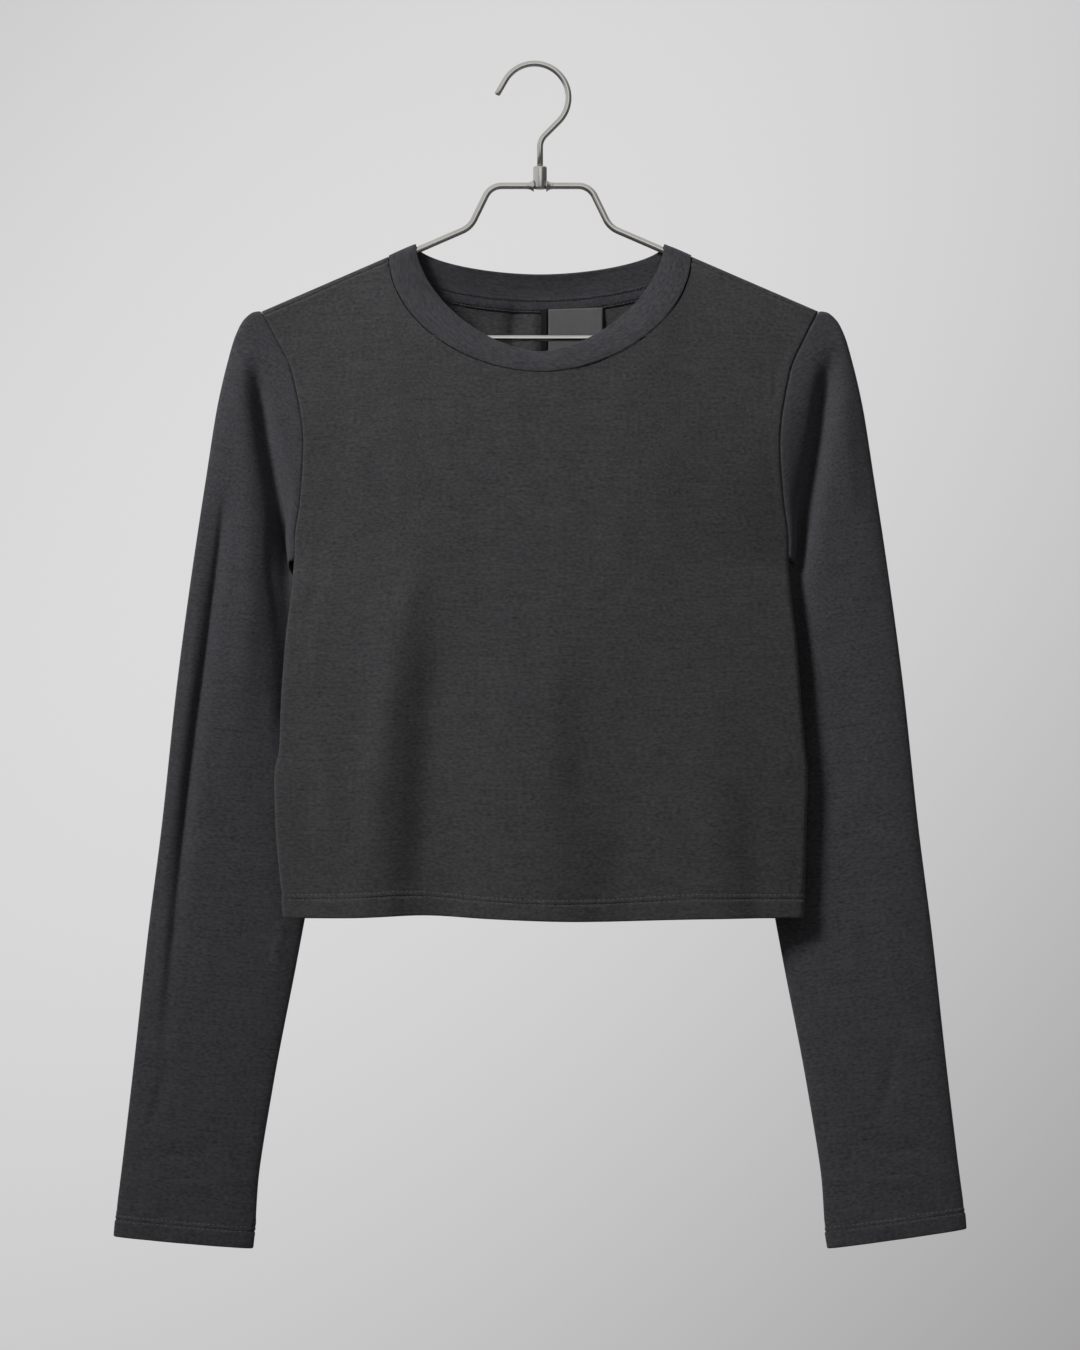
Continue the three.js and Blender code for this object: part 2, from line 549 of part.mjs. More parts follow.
// A round wire along a path in the XZ plane.
function wireGeometry(points, radius, sides, closed) {
  const count = points.length;
  const rings = points.map((point, i) => {
    const before = points[closed ? (i - 1 + count) % count : Math.max(0, i - 1)];
    const after = points[closed ? (i + 1) % count : Math.min(count - 1, i + 1)];
    const into = new THREE.Vector2().subVectors(point, before).normalize();
    const out = new THREE.Vector2().subVectors(after, point).normalize();
    const along = into.clone().add(out).normalize();
    const mitre = 1 / Math.abs(along.dot(out.length() ? out : into));
    return Array.from({ length: sides }, (_, k) => {
      const turn = (2 * Math.PI * (k + 0.5)) / sides;
      const inPlane = radius * Math.cos(turn) * mitre;
      const depth = radius * Math.sin(turn);
      return new THREE.Vector3(point.x - along.y * inPlane, depth, point.y + along.x * inPlane);
    });
  });
  const positions = rings.flat().flatMap((v) => [v.x, v.y, v.z]);
  const index = [];
  for (let i = 0; i < (closed ? count : count - 1); i++)
    for (let k = 0; k < sides; k++) {
      const [a, b] = [i * sides, ((i + 1) % count) * sides];
      const next = (k + 1) % sides;
      index.push(a + k, b + k, b + next, a + k, b + next, a + next);
    }
  if (!closed)
    for (const [ring, flip] of [[0, false], [count - 1, true]]) {
      const middle = positions.length / 3;
      positions.push(points[ring].x, 0, points[ring].y);
      for (let k = 0; k < sides; k++) {
        const [a, b] = [ring * sides + k, ring * sides + ((k + 1) % sides)];
        index.push(middle, ...(flip ? [b, a] : [a, b]));
      }
    }
  return new THREE.BufferGeometry()
    .setAttribute("position", new THREE.Float32BufferAttribute(positions, 3))
    .setIndex(index);
}

// Points round the bend at a corner between two straight runs.
function bentCorner(before, corner, after, radius, steps) {
  const into = new THREE.Vector2().subVectors(corner, before).normalize();
  const out = new THREE.Vector2().subVectors(after, corner).normalize();
  const turn = Math.atan2(into.x * out.y - into.y * out.x, into.dot(out));
  const back = radius * Math.tan(Math.abs(turn) / 2);
  const start = corner.clone().addScaledVector(into, -back);
  const side = Math.sign(turn);
  const centre = new THREE.Vector2(start.x - into.y * side * radius, start.y + into.x * side * radius);
  return spread(0, turn, steps).map((angle) => start.clone().rotateAround(centre, angle));
}

function hangerFrameGeometry() {
  const down = new THREE.Vector2(Math.cos(armSlope), -Math.sin(armSlope));
  const kneeAt = new THREE.Vector2(knee.x, knee.z);
  const reach = (knee.z - barZ) / Math.sin(armSlope);
  const cornerAt = kneeAt.clone().addScaledVector(down, reach);
  const top = new THREE.Vector2(bridge.half, bridge.z);
  const middleTop = new THREE.Vector2(0, bridge.z);
  const middleBar = new THREE.Vector2(0, barZ);
  const right = [
    ...bentCorner(middleTop, top, kneeAt, bridge.bend, 5),
    ...bentCorner(top, kneeAt, cornerAt, knee.bend, 5),
    ...bentCorner(kneeAt, cornerAt, middleBar, armEndBend, 9),
  ];
  const left = right.map((p) => new THREE.Vector2(-p.x, p.y)).reverse();
  return wireGeometry([...right, ...left], frameWire, 8, true);
}

function hookGeometry() {
  const inner = hook.bend - hook.wire;
  const centre = new THREE.Vector2(hook.crownX, -Math.sqrt(inner ** 2 - hook.crownX ** 2));
  const [tipAngle, neckAngle] = [hook.tipAngle, hook.neckAngle].map(THREE.MathUtils.degToRad);
  const wayTo = (angle) => new THREE.Vector2(Math.cos(angle), Math.sin(angle));
  const onArc = (angle) => wayTo(angle).multiplyScalar(hook.bend).add(centre);
  const tipWay = new THREE.Vector2(-Math.sin(tipAngle), Math.cos(tipAngle));
  const tip = onArc(tipAngle).addScaledVector(tipWay, hook.tip);
  const neck = onArc(neckAngle);
  const stemTurn = new THREE.Vector2(0, neck.y - neck.x);
  const stemEnd = new THREE.Vector2(0, socket.floorZ + seamGap);
  const arc = spread(tipAngle, neckAngle, 22).map(onArc);
  const stem = [...bentCorner(neck, stemTurn, stemEnd, hook.stemBend, 4), stemEnd];
  return wireGeometry([tip, ...arc, ...stem], hook.wire, 8, false);
}

const wasm = await Module();
wasm.setup();
function solidOf(geometry) {
  const points = geometry.toNonIndexed().getAttribute("position");
  const merged = mergeVertices(new THREE.BufferGeometry().setAttribute("position", points), 1e-4);
  return new wasm.Manifold(
    new wasm.Mesh({
      numProp: 3,
      vertProperties: merged.attributes.position.array,
      triVerts: new Uint32Array(merged.index.array),
    }),
  );
}
function geometryOf(solid) {
  const { vertProperties, triVerts } = solid.getMesh();
  return new THREE.BufferGeometry()
    .setAttribute("position", new THREE.BufferAttribute(vertProperties, 3))
    .setIndex(new THREE.BufferAttribute(triVerts, 1));
}

// The socket stands over the bridge like a saddle, with a blind bore for the hook's stem.
function socketGeometry() {
  const { radius, topZ, bottomZ, bore, floorZ, round } = socket;
  const profile = [
    [0, bottomZ],
    [radius - round, bottomZ],
    [radius, bottomZ + round],
    [radius, topZ - round],
    [radius - round, topZ],
    [bore, topZ],
    [bore, floorZ],
    [0, floorZ],
  ].map(([r, z]) => new THREE.Vector2(r, z));
  const body = new THREE.LatheGeometry(profile, 16).rotateX(Math.PI / 2);
  const saddle = new THREE.CylinderGeometry(frameWire + seamGap, frameWire + seamGap, 4 * radius, 16)
    .rotateZ(Math.PI / 2)
    .translate(0, 0, bridge.z);
  return geometryOf(solidOf(body).subtract(solidOf(saddle)));
}

const charcoal = new THREE.MeshStandardMaterial({ color: 0x38383b, roughness: 0.92, metalness: 0 });
const satinTape = new THREE.MeshStandardMaterial({ color: 0x3a3a3c, roughness: 0.8, metalness: 0 });
const wovenLabel = new THREE.MeshStandardMaterial({ color: 0x5a5a5c, roughness: 0.5, metalness: 0 });
const wovenStrip = new THREE.MeshStandardMaterial({ color: 0x1c1c1e, roughness: 0.6, metalness: 0 });
const satinNickel = new THREE.MeshStandardMaterial({ color: 0xb4b1aa, roughness: 0.3, metalness: 1 });

const top = new THREE.Group();
function add(name, geometry, material) {
  const mesh = new THREE.Mesh(geometry, material);
  mesh.name = name;
  top.add(mesh);
}
add("front", panelGeometry(frontPanel), charcoal);
add("back", panelGeometry(backPanel), charcoal);
add("upper_sleeve_left", sleeveGeometry(-1, "upper"), charcoal);
add("lower_sleeve_left", sleeveGeometry(-1, "lower"), charcoal);
add("upper_sleeve_right", sleeveGeometry(1, "upper"), charcoal);
add("lower_sleeve_right", sleeveGeometry(1, "lower"), charcoal);
add("neckband", neckbandGeometry(), charcoal);
add("neck_tape", tapeGeometry(), satinTape);
add("neck_label", labelGeometry(label), wovenLabel);
add("size_strip", labelGeometry(strip), wovenStrip);
add("hanger_frame", hangerFrameGeometry(), satinNickel);
add("hanger_socket", socketGeometry(), satinNickel);
add("hanger_hook", hookGeometry(), satinNickel);

export default top;
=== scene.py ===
import math

import bpy
import numpy as np
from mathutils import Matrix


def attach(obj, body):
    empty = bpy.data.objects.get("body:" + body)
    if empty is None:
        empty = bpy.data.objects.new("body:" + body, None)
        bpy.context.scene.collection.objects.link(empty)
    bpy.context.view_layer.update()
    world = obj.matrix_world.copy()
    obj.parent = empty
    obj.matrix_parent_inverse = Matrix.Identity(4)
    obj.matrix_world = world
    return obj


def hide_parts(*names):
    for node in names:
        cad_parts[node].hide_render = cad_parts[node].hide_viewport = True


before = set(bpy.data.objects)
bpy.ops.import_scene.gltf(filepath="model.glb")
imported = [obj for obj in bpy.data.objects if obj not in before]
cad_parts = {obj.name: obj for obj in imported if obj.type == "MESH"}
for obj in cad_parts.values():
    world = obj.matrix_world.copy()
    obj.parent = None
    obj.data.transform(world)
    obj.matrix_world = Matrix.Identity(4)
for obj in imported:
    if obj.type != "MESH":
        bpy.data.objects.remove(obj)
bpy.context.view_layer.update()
mm = 0.001


# small maths, all in millimetres

def lerp(a, b, t):
    return a + (b - a) * t


def smooth(t):
    t = np.clip(t, 0, 1)
    return t * t * (3 - 2 * t)


def bell(t):
    return np.exp(-np.square(t))


def roll(drop, radius):  # depth reached at a drop below a ridge bent to this radius
    return np.sqrt(np.maximum(0, radius ** 2 - np.square(np.clip(radius - drop, 0, radius))))


def curveThrough(keys, values):  # smooth curve through table rows, with no overshoot between them
    x, y = np.array(keys, float), np.array(values, float)
    rise = np.diff(y) / np.diff(x)
    slope = np.concatenate([[rise[0]], np.zeros(len(x) - 2), [rise[-1]]])
    for i in range(1, len(x) - 1):
        if rise[i - 1] * rise[i] > 0:
            slope[i] = 2 * rise[i - 1] * rise[i] / (rise[i - 1] + rise[i])

    def at(where):
        i = np.clip(np.searchsorted(x, where) - 1, 0, len(x) - 2)
        width = x[i + 1] - x[i]
        t = np.clip((where - x[i]) / width, 0, 1)
        h = smooth(t)
        tangents = t * (1 - t) ** 2 * slope[i] + t * t * (t - 1) * slope[i + 1]
        return y[i] * (1 - h) + y[i + 1] * h + width * tangents
    return at


def softNoise(u, v, seed):  # smooth value noise in -1..1, the same each run
    def corner(i, j):
        n = (i * 374761393 + j * 668265263 + seed * 2147483647) & 0xFFFFFFFF
        n = ((n ^ (n >> 13)) * 1274126177) & 0xFFFFFFFF
        return ((n ^ (n >> 16)) & 0xFFFF) / 32767.5 - 1
    i, j = np.floor(u).astype(np.int64), np.floor(v).astype(np.int64)
    s, t = smooth(u - i), smooth(v - j)
    top = lerp(corner(i, j), corner(i + 1, j), s)
    return lerp(top, lerp(corner(i, j + 1), corner(i + 1, j + 1), s), t)


# sizes shared with the solids

hanger = {
    "wire": 2.2, "armSlope": math.radians(23.4), "kneeX": 46.5, "kneeZ": -106.8, "kneeBend": 16,
    "bridgeHalf": 33, "bridgeZ": -79.2, "bridgeBend": 12, "barZ": -180.7, "endBend": 8.4,
    "hookWire": 2, "hookBend": 22.67, "crownX": -3.67, "tipAngle": 150, "neckAngle": -45,
    "tip": 11, "stemBend": 11, "stemEnd": -74.2,
    "socketRadius": 4.55, "socketTop": -66.1, "socketBottom": -80.8,
}
body = {
    "shoulderX": 185.2, "neckX": 101, "drop": 402.4, "underarm": 165, "hem": 14, "cloth": 0.9,
    "sides": [  # drop, left half-width, right half-width
        (0, 185.2, 185.2), (14, 177.6, 178), (41, 164.7, 166.3), (88, 157.3, 159.6),
        (126, 159.8, 162.2), (150, 163.3, 165.4), (165, 163.6, 165.6), (188, 165.3, 167),
        (217, 168.8, 170.2), (262, 172, 173.6), (290, 172.9, 176), (309, 176.4, 177.8),
        (345, 175.4, 176.8), (387, 171.6, 175.8), (402.4, 170.2, 174.6),
    ],
    "sideLean": [  # drop, y of the side seam
        (0, 0), (165, 0), (182, -3.6), (217, -6.5), (262, -8), (402.4, -6.5),
    ],
    "fullnessDrop": 60, "neckShare": 0.575,
}
ridgeBend = hanger["wire"] + 1
bandBend = hanger["wire"] + 1.4

front = {
    "out": -1, "neckDrop": 77.8, "neckPower": 1.9, "armhole": 11, "ease": 0, "fullness": 22, "power": 2.6,
    "folds": [  # start x, start z, hem x, width, height
        (-84, -300, -117, 27, 7), (-62, -290, -66, 24, -7.5), (-8, -330, 4, 28, 5),
        (58, -350, 54, 26, -4), (116, -370, 121, 20, 4), (140, -420, 145, 11, -3),
    ],
}
back = {
    "out": 1, "neckDrop": 28, "neckPower": 1.9, "armhole": 12, "ease": 3, "fullness": 24, "power": 2,
    "folds": [
        (78, -330, 92, 26, 4.5), (34, -320, 40, 24, -5), (-22, -340, -18, 27, 4.5), (-74, -330, -82, 24, -4),
    ],
}

halfWidth = {
    -1: curveThrough([r[0] for r in body["sides"]], [r[1] for r in body["sides"]]),
    1: curveThrough([r[0] for r in body["sides"]], [r[2] for r in body["sides"]]),
}
sideLean = curveThrough(*zip(*body["sideLean"]))


def armZ(x):
    return hanger["kneeZ"] - (np.abs(x) - hanger["kneeX"]) * math.tan(hanger["armSlope"])


def ridgeZ(x):
    return armZ(x) + ridgeBend / math.cos(hanger["armSlope"])


tipZ = float(ridgeZ(body["shoulderX"]))


def hemZ(x):
    return tipZ - body["drop"] + 2.1 * bell((x + 80) / 35) - 1.9 * bell((x - 35) / 55)


def sideAt(sign, drop):
    return np.where(sign < 0, halfWidth[-1](drop), halfWidth[1](drop))


def bodyDepth(panel, x, z, width):
    below = np.maximum(0, ridgeZ(np.hypot(x, 40)) - z)
    across = np.minimum(1, np.abs(x) / width)
    full = 1 - np.exp(-below / body["fullnessDrop"])
    return ridgeBend + panel["fullness"] * full * (1 - across ** panel["power"])


def armholeRise(panel, share):
    return (panel["armhole"] - ridgeBend) * np.sin(np.pi * np.clip(share, 0, 1)) ** 2


def foldHeight(panel, x, z):
    total = 0
    for startX, startZ, hemX, width, height in panel["folds"]:
        down = np.clip((startZ - z) / (startZ - (tipZ - body["drop"])), 0, 1)
        total = total + height * smooth(down) * bell((x - lerp(startX, hemX, down)) / width)
    return total


# a crease: x and z of points along it, its width, its height (out of the cloth) and how lopsided it is

def creaseHeight(creases, x, z):
    total = np.zeros_like(x)
    for line, width, height, lean in creases:
        points = [np.array(p, float) for p in line]
        best, along = np.full_like(x, 1e9), np.zeros_like(x)
        for k in range(len(points) - 1):
            a, step = points[k], points[k + 1] - points[k]
            t = np.clip(((x - a[0]) * step[0] + (z - a[1]) * step[1]) / step.dot(step), 0, 1)
            offX, offZ = x - a[0] - t * step[0], z - a[1] - t * step[1]
            side = np.sign(step[0] * offZ - step[1] * offX)
            away = np.hypot(offX, offZ) * side
            closer = np.abs(away) < np.abs(best)
            best = np.where(closer, away, best)
            along = np.where(closer, (k + t) / (len(points) - 1), along)
        reach = width * np.where(best > 0, 1 + lean, 1 - lean)
        ends = smooth(along / 0.3) * smooth((1 - along) / 0.3)
        total += height * ends * bell(best / reach)
    return total


# meshes

def makeObject(name, vertices, faces, uvs=None, material=None):
    mesh = bpy.data.meshes.new(name)
    mesh.from_pydata(np.asarray(vertices, float).tolist(), [], faces)
    if uvs is not None:
        layer = mesh.uv_layers.new(name="cloth")
        corner = np.zeros(len(mesh.loops), np.int32)
        mesh.loops.foreach_get("vertex_index", corner)
        layer.data.foreach_set("uv", np.asarray(uvs, np.float32)[corner].ravel())
    mesh.shade_smooth()
    obj = bpy.data.objects.new(name, mesh)
    bpy.context.scene.collection.objects.link(obj)
    if material:
        mesh.materials.append(material)
    return obj


def gridFaces(rows, cols, closed=False, flip=False):
    faces = []
    for i in range(rows - 1):
        for j in range(cols if closed else cols - 1):
            k = (j + 1) % cols
            quad = (i * cols + j, (i + 1) * cols + j, (i + 1) * cols + k, i * cols + k)
            faces.append(quad[::-1] if flip else quad)
    return faces


def gridNormals(grid, closed=False):
    if closed:
        across = np.roll(grid, -1, 1) - np.roll(grid, 1, 1)
    else:
        across = np.gradient(grid, axis=1)
    normal = np.cross(np.gradient(grid, axis=0), across)
    return normal / np.maximum(1e-9, np.linalg.norm(normal, axis=2, keepdims=True))


def runAlong(grid, axis):  # running length of cloth along one way of a grid
    steps = np.linalg.norm(np.diff(grid, axis=axis), axis=2)
    return np.concatenate([np.zeros_like(steps.take([0], axis)), np.cumsum(steps, axis)], axis)


def applyModifiers(obj):
    bpy.context.view_layer.objects.active = obj
    for other in bpy.context.selected_objects:
        other.select_set(False)
    obj.select_set(True)
    for modifier in list(obj.modifiers):
        bpy.ops.object.modifier_apply(modifier=modifier.name)
    obj.select_set(False)


def closeSeam(obj, reach):  # joins the points that lie on each other
    weld = obj.modifiers.new("Close", "WELD")
    weld.merge_threshold = reach
    applyModifiers(obj)


def clothObject(name, grid, material, closed=False, flip=False, thickness=body["cloth"], fromHem=False):
    if closed:  # the first column again, so the weave isn't stretched back over the last strip
        grid = np.concatenate([grid, grid[:, :1]], 1)
    rows, cols = grid.shape[:2]
    across, down = runAlong(grid, 1), runAlong(grid, 0)
    across -= across[:, [cols // 2]]
    if fromHem:
        down = down - down[-1:]
    uvs = np.stack([across * mm, -down * mm], -1).reshape(-1, 2)
    obj = makeObject(name, grid.reshape(-1, 3) * mm, gridFaces(rows, cols, False, flip), uvs, material)
    if closed:
        closeSeam(obj, 0.02 * mm)
    wall = obj.modifiers.new("Wall", "SOLIDIFY")
    wall.thickness = thickness * mm
    wall.offset = 0
    applyModifiers(obj)
    obj.data.shade_smooth()
    return obj


def sweepTube(path, radius, sides, closed=False):  # points and faces of a round wire
    path = np.asarray(path, float)
    count = len(path)
    if closed:
        along = np.roll(path, -1, 0) - np.roll(path, 1, 0)
    else:
        along = np.gradient(path, axis=0)
    along /= np.linalg.norm(along, axis=1, keepdims=True)
    side = np.cross(along, np.array([0.0, 1.0, 0.0]))
    side /= np.linalg.norm(side, axis=1, keepdims=True)
    up = np.cross(side, along)
    turn = np.linspace(0, 2 * np.pi, sides, endpoint=False)
    radius = np.broadcast_to(np.asarray(radius, float), (count,))[:, None, None]
    ring = side[:, None] * np.cos(turn)[None, :, None] + up[:, None] * np.sin(turn)[None, :, None]
    points = (path[:, None] + radius * ring).reshape(-1, 3)
    faces = []
    for i in range(count if closed else count - 1):
        a, b = i * sides, (i + 1) % count * sides
        faces += [(a + k, a + (k + 1) % sides, b + (k + 1) % sides, b + k) for k in range(sides)]
    if not closed:
        faces += [tuple(range(sides))[::-1], tuple(range((count - 1) * sides, count * sides))]
    return points, faces


def threadRow(name, points, normals, look, material):
    # stitches laid end to end along a line of points, each a short capsule sunk into the cloth
    points = np.asarray(points, float)
    run = np.concatenate([[0], np.cumsum(np.linalg.norm(np.diff(points, axis=0), axis=1))])
    count = max(2, int(run[-1] / look["pitch"]))
    vertices, faces = [], []
    shares = np.array([0, 0.12, 0.32, 0.5, 0.68, 0.88, 1])
    swell = np.array([0.35, 0.75, 1, 1, 1, 0.75, 0.35])
    lift = np.array([-1.1, -0.25, 0.25, 0.35, 0.25, -0.25, -1.1]) * look["radius"] + look.get("proud", 0)
    sides = 6
    turn = np.linspace(0, 2 * np.pi, sides, endpoint=False)
    for k in range(count):
        start, end = run[-1] * (k + 0.07) / count, run[-1] * (k + 0.93) / count
        at = lerp(start, end, shares)
        p = np.stack([np.interp(at, run, points[:, a]) for a in range(3)], 1)
        n = np.stack([np.interp(at, run, normals[:, a]) for a in range(3)], 1)
        n /= np.linalg.norm(n, axis=1, keepdims=True)
        p = p + n * lift[:, None]
        along = np.gradient(p, axis=0)
        along /= np.linalg.norm(along, axis=1, keepdims=True)
        side = np.cross(along, n)
        side /= np.linalg.norm(side, axis=1, keepdims=True)
        ring = side[:, None] * np.cos(turn)[None, :, None] + n[:, None] * np.sin(turn)[None, :, None]
        base = len(vertices)
        vertices += (p[:, None] + ring * (look["radius"] * swell)[:, None, None]).reshape(-1, 3).tolist()
        for i in range(len(shares) - 1):
            a, b = base + i * sides, base + (i + 1) * sides
            faces += [(a + m, a + (m + 1) % sides, b + (m + 1) % sides, b + m) for m in range(sides)]
        lastRing = base + (len(shares) - 1) * sides
        faces += [tuple(base + m for m in range(sides))[::-1], tuple(lastRing + m for m in range(sides))]
    return makeObject(name, np.array(vertices) * mm, faces, None, material)


# shader helpers

def addNode(tree, kind, inputs=(), **settings):  # an input takes another node's output or a plain value
    node = tree.nodes.new(kind)
    for key, value in settings.items():
        setattr(node, key, value)
    for key, value in dict(inputs).items():
        if hasattr(value, "is_output"):
            tree.links.new(value, node.inputs[key])
        else:
            node.inputs[key].default_value = value
    return node


def newMaterial(name):
    mat = bpy.data.materials.new(name)
    mat.use_nodes = True
    return mat, mat.node_tree, mat.node_tree.nodes["Principled BSDF"]


def mathNode(tree, kind, *values):
    return addNode(tree, "ShaderNodeMath", enumerate(values), operation=kind).outputs[0]


def centred(tree, value, amount):  # a noise of 0..1 turned to swing round 0
    return mathNode(tree, "MULTIPLY", mathNode(tree, "SUBTRACT", value, 0.5), amount)


def blended(tree, a, b, share):  # that share of a, and the rest of b
    return mathNode(tree, "ADD", mathNode(tree, "MULTIPLY", a, share),
                    mathNode(tree, "MULTIPLY", b, 1 - share))


def mapRange(tree, value, low, high, toLow=0.0, toHigh=1.0):
    return addNode(tree, "ShaderNodeMapRange", {
        "Value": value, "From Min": low, "From Max": high, "To Min": toLow, "To Max": toHigh,
    }, interpolation_type="SMOOTHSTEP").outputs["Result"]


def noiseNode(tree, vector, scale, detail=2.0, stretch=None):
    if stretch:
        vector = addNode(tree, "ShaderNodeMapping", {"Vector": vector, "Scale": stretch}).outputs["Vector"]
    return addNode(tree, "ShaderNodeTexNoise", {
        "Vector": vector, "Scale": scale, "Detail": detail}).outputs["Fac"]


def mixNode(tree, factor, a, b, kind="RGBA"):
    node = addNode(tree, "ShaderNodeMix", {"Factor": factor, "A": a, "B": b}, data_type=kind)
    return node.outputs["Result"]


def rampNode(tree, factor, dark, light, low=0, high=1):
    node = addNode(tree, "ShaderNodeValToRGB", {0: factor})
    for stop, place, tone in zip(node.color_ramp.elements, (low, high), (dark, light)):
        stop.position = place
        stop.color = (*tone, 1)
    return node.outputs[0]


def addBump(tree, shader, height, strength, distance):
    bump = addNode(tree, "ShaderNodeBump", {"Height": height, "Strength": strength, "Distance": distance})
    tree.links.new(bump.outputs[0], shader.inputs["Normal"])


def groupShell(name, inputs, outputs):
    tree = bpy.data.node_groups.new(name, "ShaderNodeTree")
    tree.interface.new_socket(name="Vector", in_out="INPUT", socket_type="NodeSocketVector")
    for label, value in inputs.items():
        socket = tree.interface.new_socket(name=label, in_out="INPUT", socket_type="NodeSocketFloat")
        socket.default_value = value
    for label in outputs:
        tree.interface.new_socket(name=label, in_out="OUTPUT", socket_type="NodeSocketFloat")
    return tree, tree.nodes.new("NodeGroupInput").outputs, tree.nodes.new("NodeGroupOutput").inputs


def makeKnitGroup():  # columns of V stitches: their height, and a painted shade for the recesses between them
    tree, given, made = groupShell("jersey knit", {"Wales per mm": 1.5, "Courses per mm": 1.9},
                                   ("Height", "Painted gap shade"))
    place = addNode(tree, "ShaderNodeSeparateXYZ", {0: given["Vector"]}).outputs
    wobble = centred(tree, noiseNode(tree, given["Vector"], 260), 0.9)
    column = mathNode(tree, "MULTIPLY", place["X"], given["Wales per mm"])
    column = mathNode(tree, "ADD", mathNode(tree, "MULTIPLY_ADD", column, 1 / mm, 0.5), wobble)
    inColumn = mathNode(tree, "PINGPONG", column, 0.5)  # 0 between wales, 0.5 on the middle of one
    row = mathNode(tree, "MULTIPLY", mathNode(tree, "MULTIPLY", place["Y"], given["Courses per mm"]), 1 / mm)
    slanted = mathNode(tree, "ADD", mathNode(tree, "MULTIPLY", inColumn, 1.3), row)
    inRow = mathNode(tree, "PINGPONG", mathNode(tree, "ADD", slanted, wobble), 0.5)
    arm, leg = (mathNode(tree, "SINE", mathNode(tree, "MULTIPLY", part, 2 * math.pi))
                for part in (inColumn, inRow))
    height = mathNode(tree, "MULTIPLY", arm, mathNode(tree, "MULTIPLY_ADD", leg, 0.6, 0.5))
    tree.links.new(height, made["Height"])
    # painted shade: the lower the knit bump, the stronger this output, to darken the colour in its recesses
    tree.links.new(mapRange(tree, height, 0.05, 0.6, 1.0, 0.0), made["Painted gap shade"])
    return tree


def makeMarlGroup():  # dyed fibres: streaks along the courses, flecks, cloudy patches and pale stray fibres
    tree, given, made = groupShell("marl fibres", {"Streak": 0.25, "Fleck": 0.5, "Cloud": 0.15},
                                   ("Shade", "Warmth", "Lint"))
    vector = given["Vector"]
    fine = noiseNode(tree, vector, 1100, 3, (0.2, 0.8, 1))
    slub = noiseNode(tree, vector, 260, 2, (0.16, 1.3, 1))
    streaks = centred(tree, blended(tree, fine, slub, 0.6), given["Streak"])
    clouds = centred(tree, noiseNode(tree, vector, 55, 3), given["Cloud"])
    flecks = centred(tree, noiseNode(tree, vector, 560, 4, (0.6, 1, 1)), given["Fleck"])
    uneven = mathNode(tree, "ADD", streaks, mathNode(tree, "ADD", flecks, clouds))
    tree.links.new(mathNode(tree, "ADD", uneven, 1.0), made["Shade"])
    tree.links.new(noiseNode(tree, vector, 210, 2, (0.6, 1, 1)), made["Warmth"])
    wander = mathNode(tree, "ABSOLUTE", mathNode(tree, "SUBTRACT", noiseNode(tree, vector, 170), 0.5))
    fibre = mapRange(tree, wander, 0.0, 0.007, 1.0, 0.0)
    patch = mapRange(tree, noiseNode(tree, vector, 150, 0), 0.68, 0.74)
    tree.links.new(mathNode(tree, "MULTIPLY", fibre, patch), made["Lint"])
    return tree


knitGroup, marlGroup = makeKnitGroup(), makeMarlGroup()


# materials

def clothPlace(tree):  # running metres of cloth across and down
    return addNode(tree, "ShaderNodeUVMap", uv_map="cloth").outputs[0]


def makeJersey(name, look):
    mat, tree, shader = newMaterial(name)
    place = clothPlace(tree)
    knit = addNode(tree, "ShaderNodeGroup", {
        "Vector": place, "Wales per mm": look["wales"], "Courses per mm": look["courses"],
    }, node_tree=knitGroup).outputs
    marl = addNode(tree, "ShaderNodeGroup", {
        "Vector": place, "Streak": look["streak"], "Fleck": look["fleck"], "Cloud": look["cloud"],
    }, node_tree=marlGroup).outputs
    tint = mixNode(tree, mapRange(tree, marl["Warmth"], 0.35, 0.65), (*look["cool"], 1), (*look["warm"], 1))
    # painted shade: the base colour darkens in the recesses between the knit loops
    shade = mathNode(tree, "MULTIPLY", marl["Shade"],
                     mapRange(tree, knit["Painted gap shade"], 0, 1, 1.0, 1 - look["paintedGapShade"]))
    dyed = addNode(tree, "ShaderNodeVectorMath", {0: tint, "Scale": shade}, operation="SCALE").outputs[0]
    stray = mathNode(tree, "MULTIPLY", marl["Lint"], look["lintAmount"])
    tree.links.new(mixNode(tree, stray, dyed, (*look["lint"], 1)), shader.inputs["Base Color"])
    tree.links.new(mapRange(tree, marl["Shade"], 0.8, 1.2, look["rough"] + 0.04, look["rough"] - 0.04),
                   shader.inputs["Roughness"])
    shader.inputs["Specular IOR Level"].default_value = look["specular"]
    shader.inputs["Sheen Weight"].default_value = look["sheen"]
    shader.inputs["Sheen Roughness"].default_value = 0.55
    shader.inputs["Sheen Tint"].default_value = (*look["sheenTint"], 1)
    fuzz = mathNode(tree, "MULTIPLY", noiseNode(tree, place, 900, 3), look["fuzz"])
    addBump(tree, shader, mathNode(tree, "ADD", knit["Height"], fuzz), look["bump"], 0.12 * mm)
    return mat


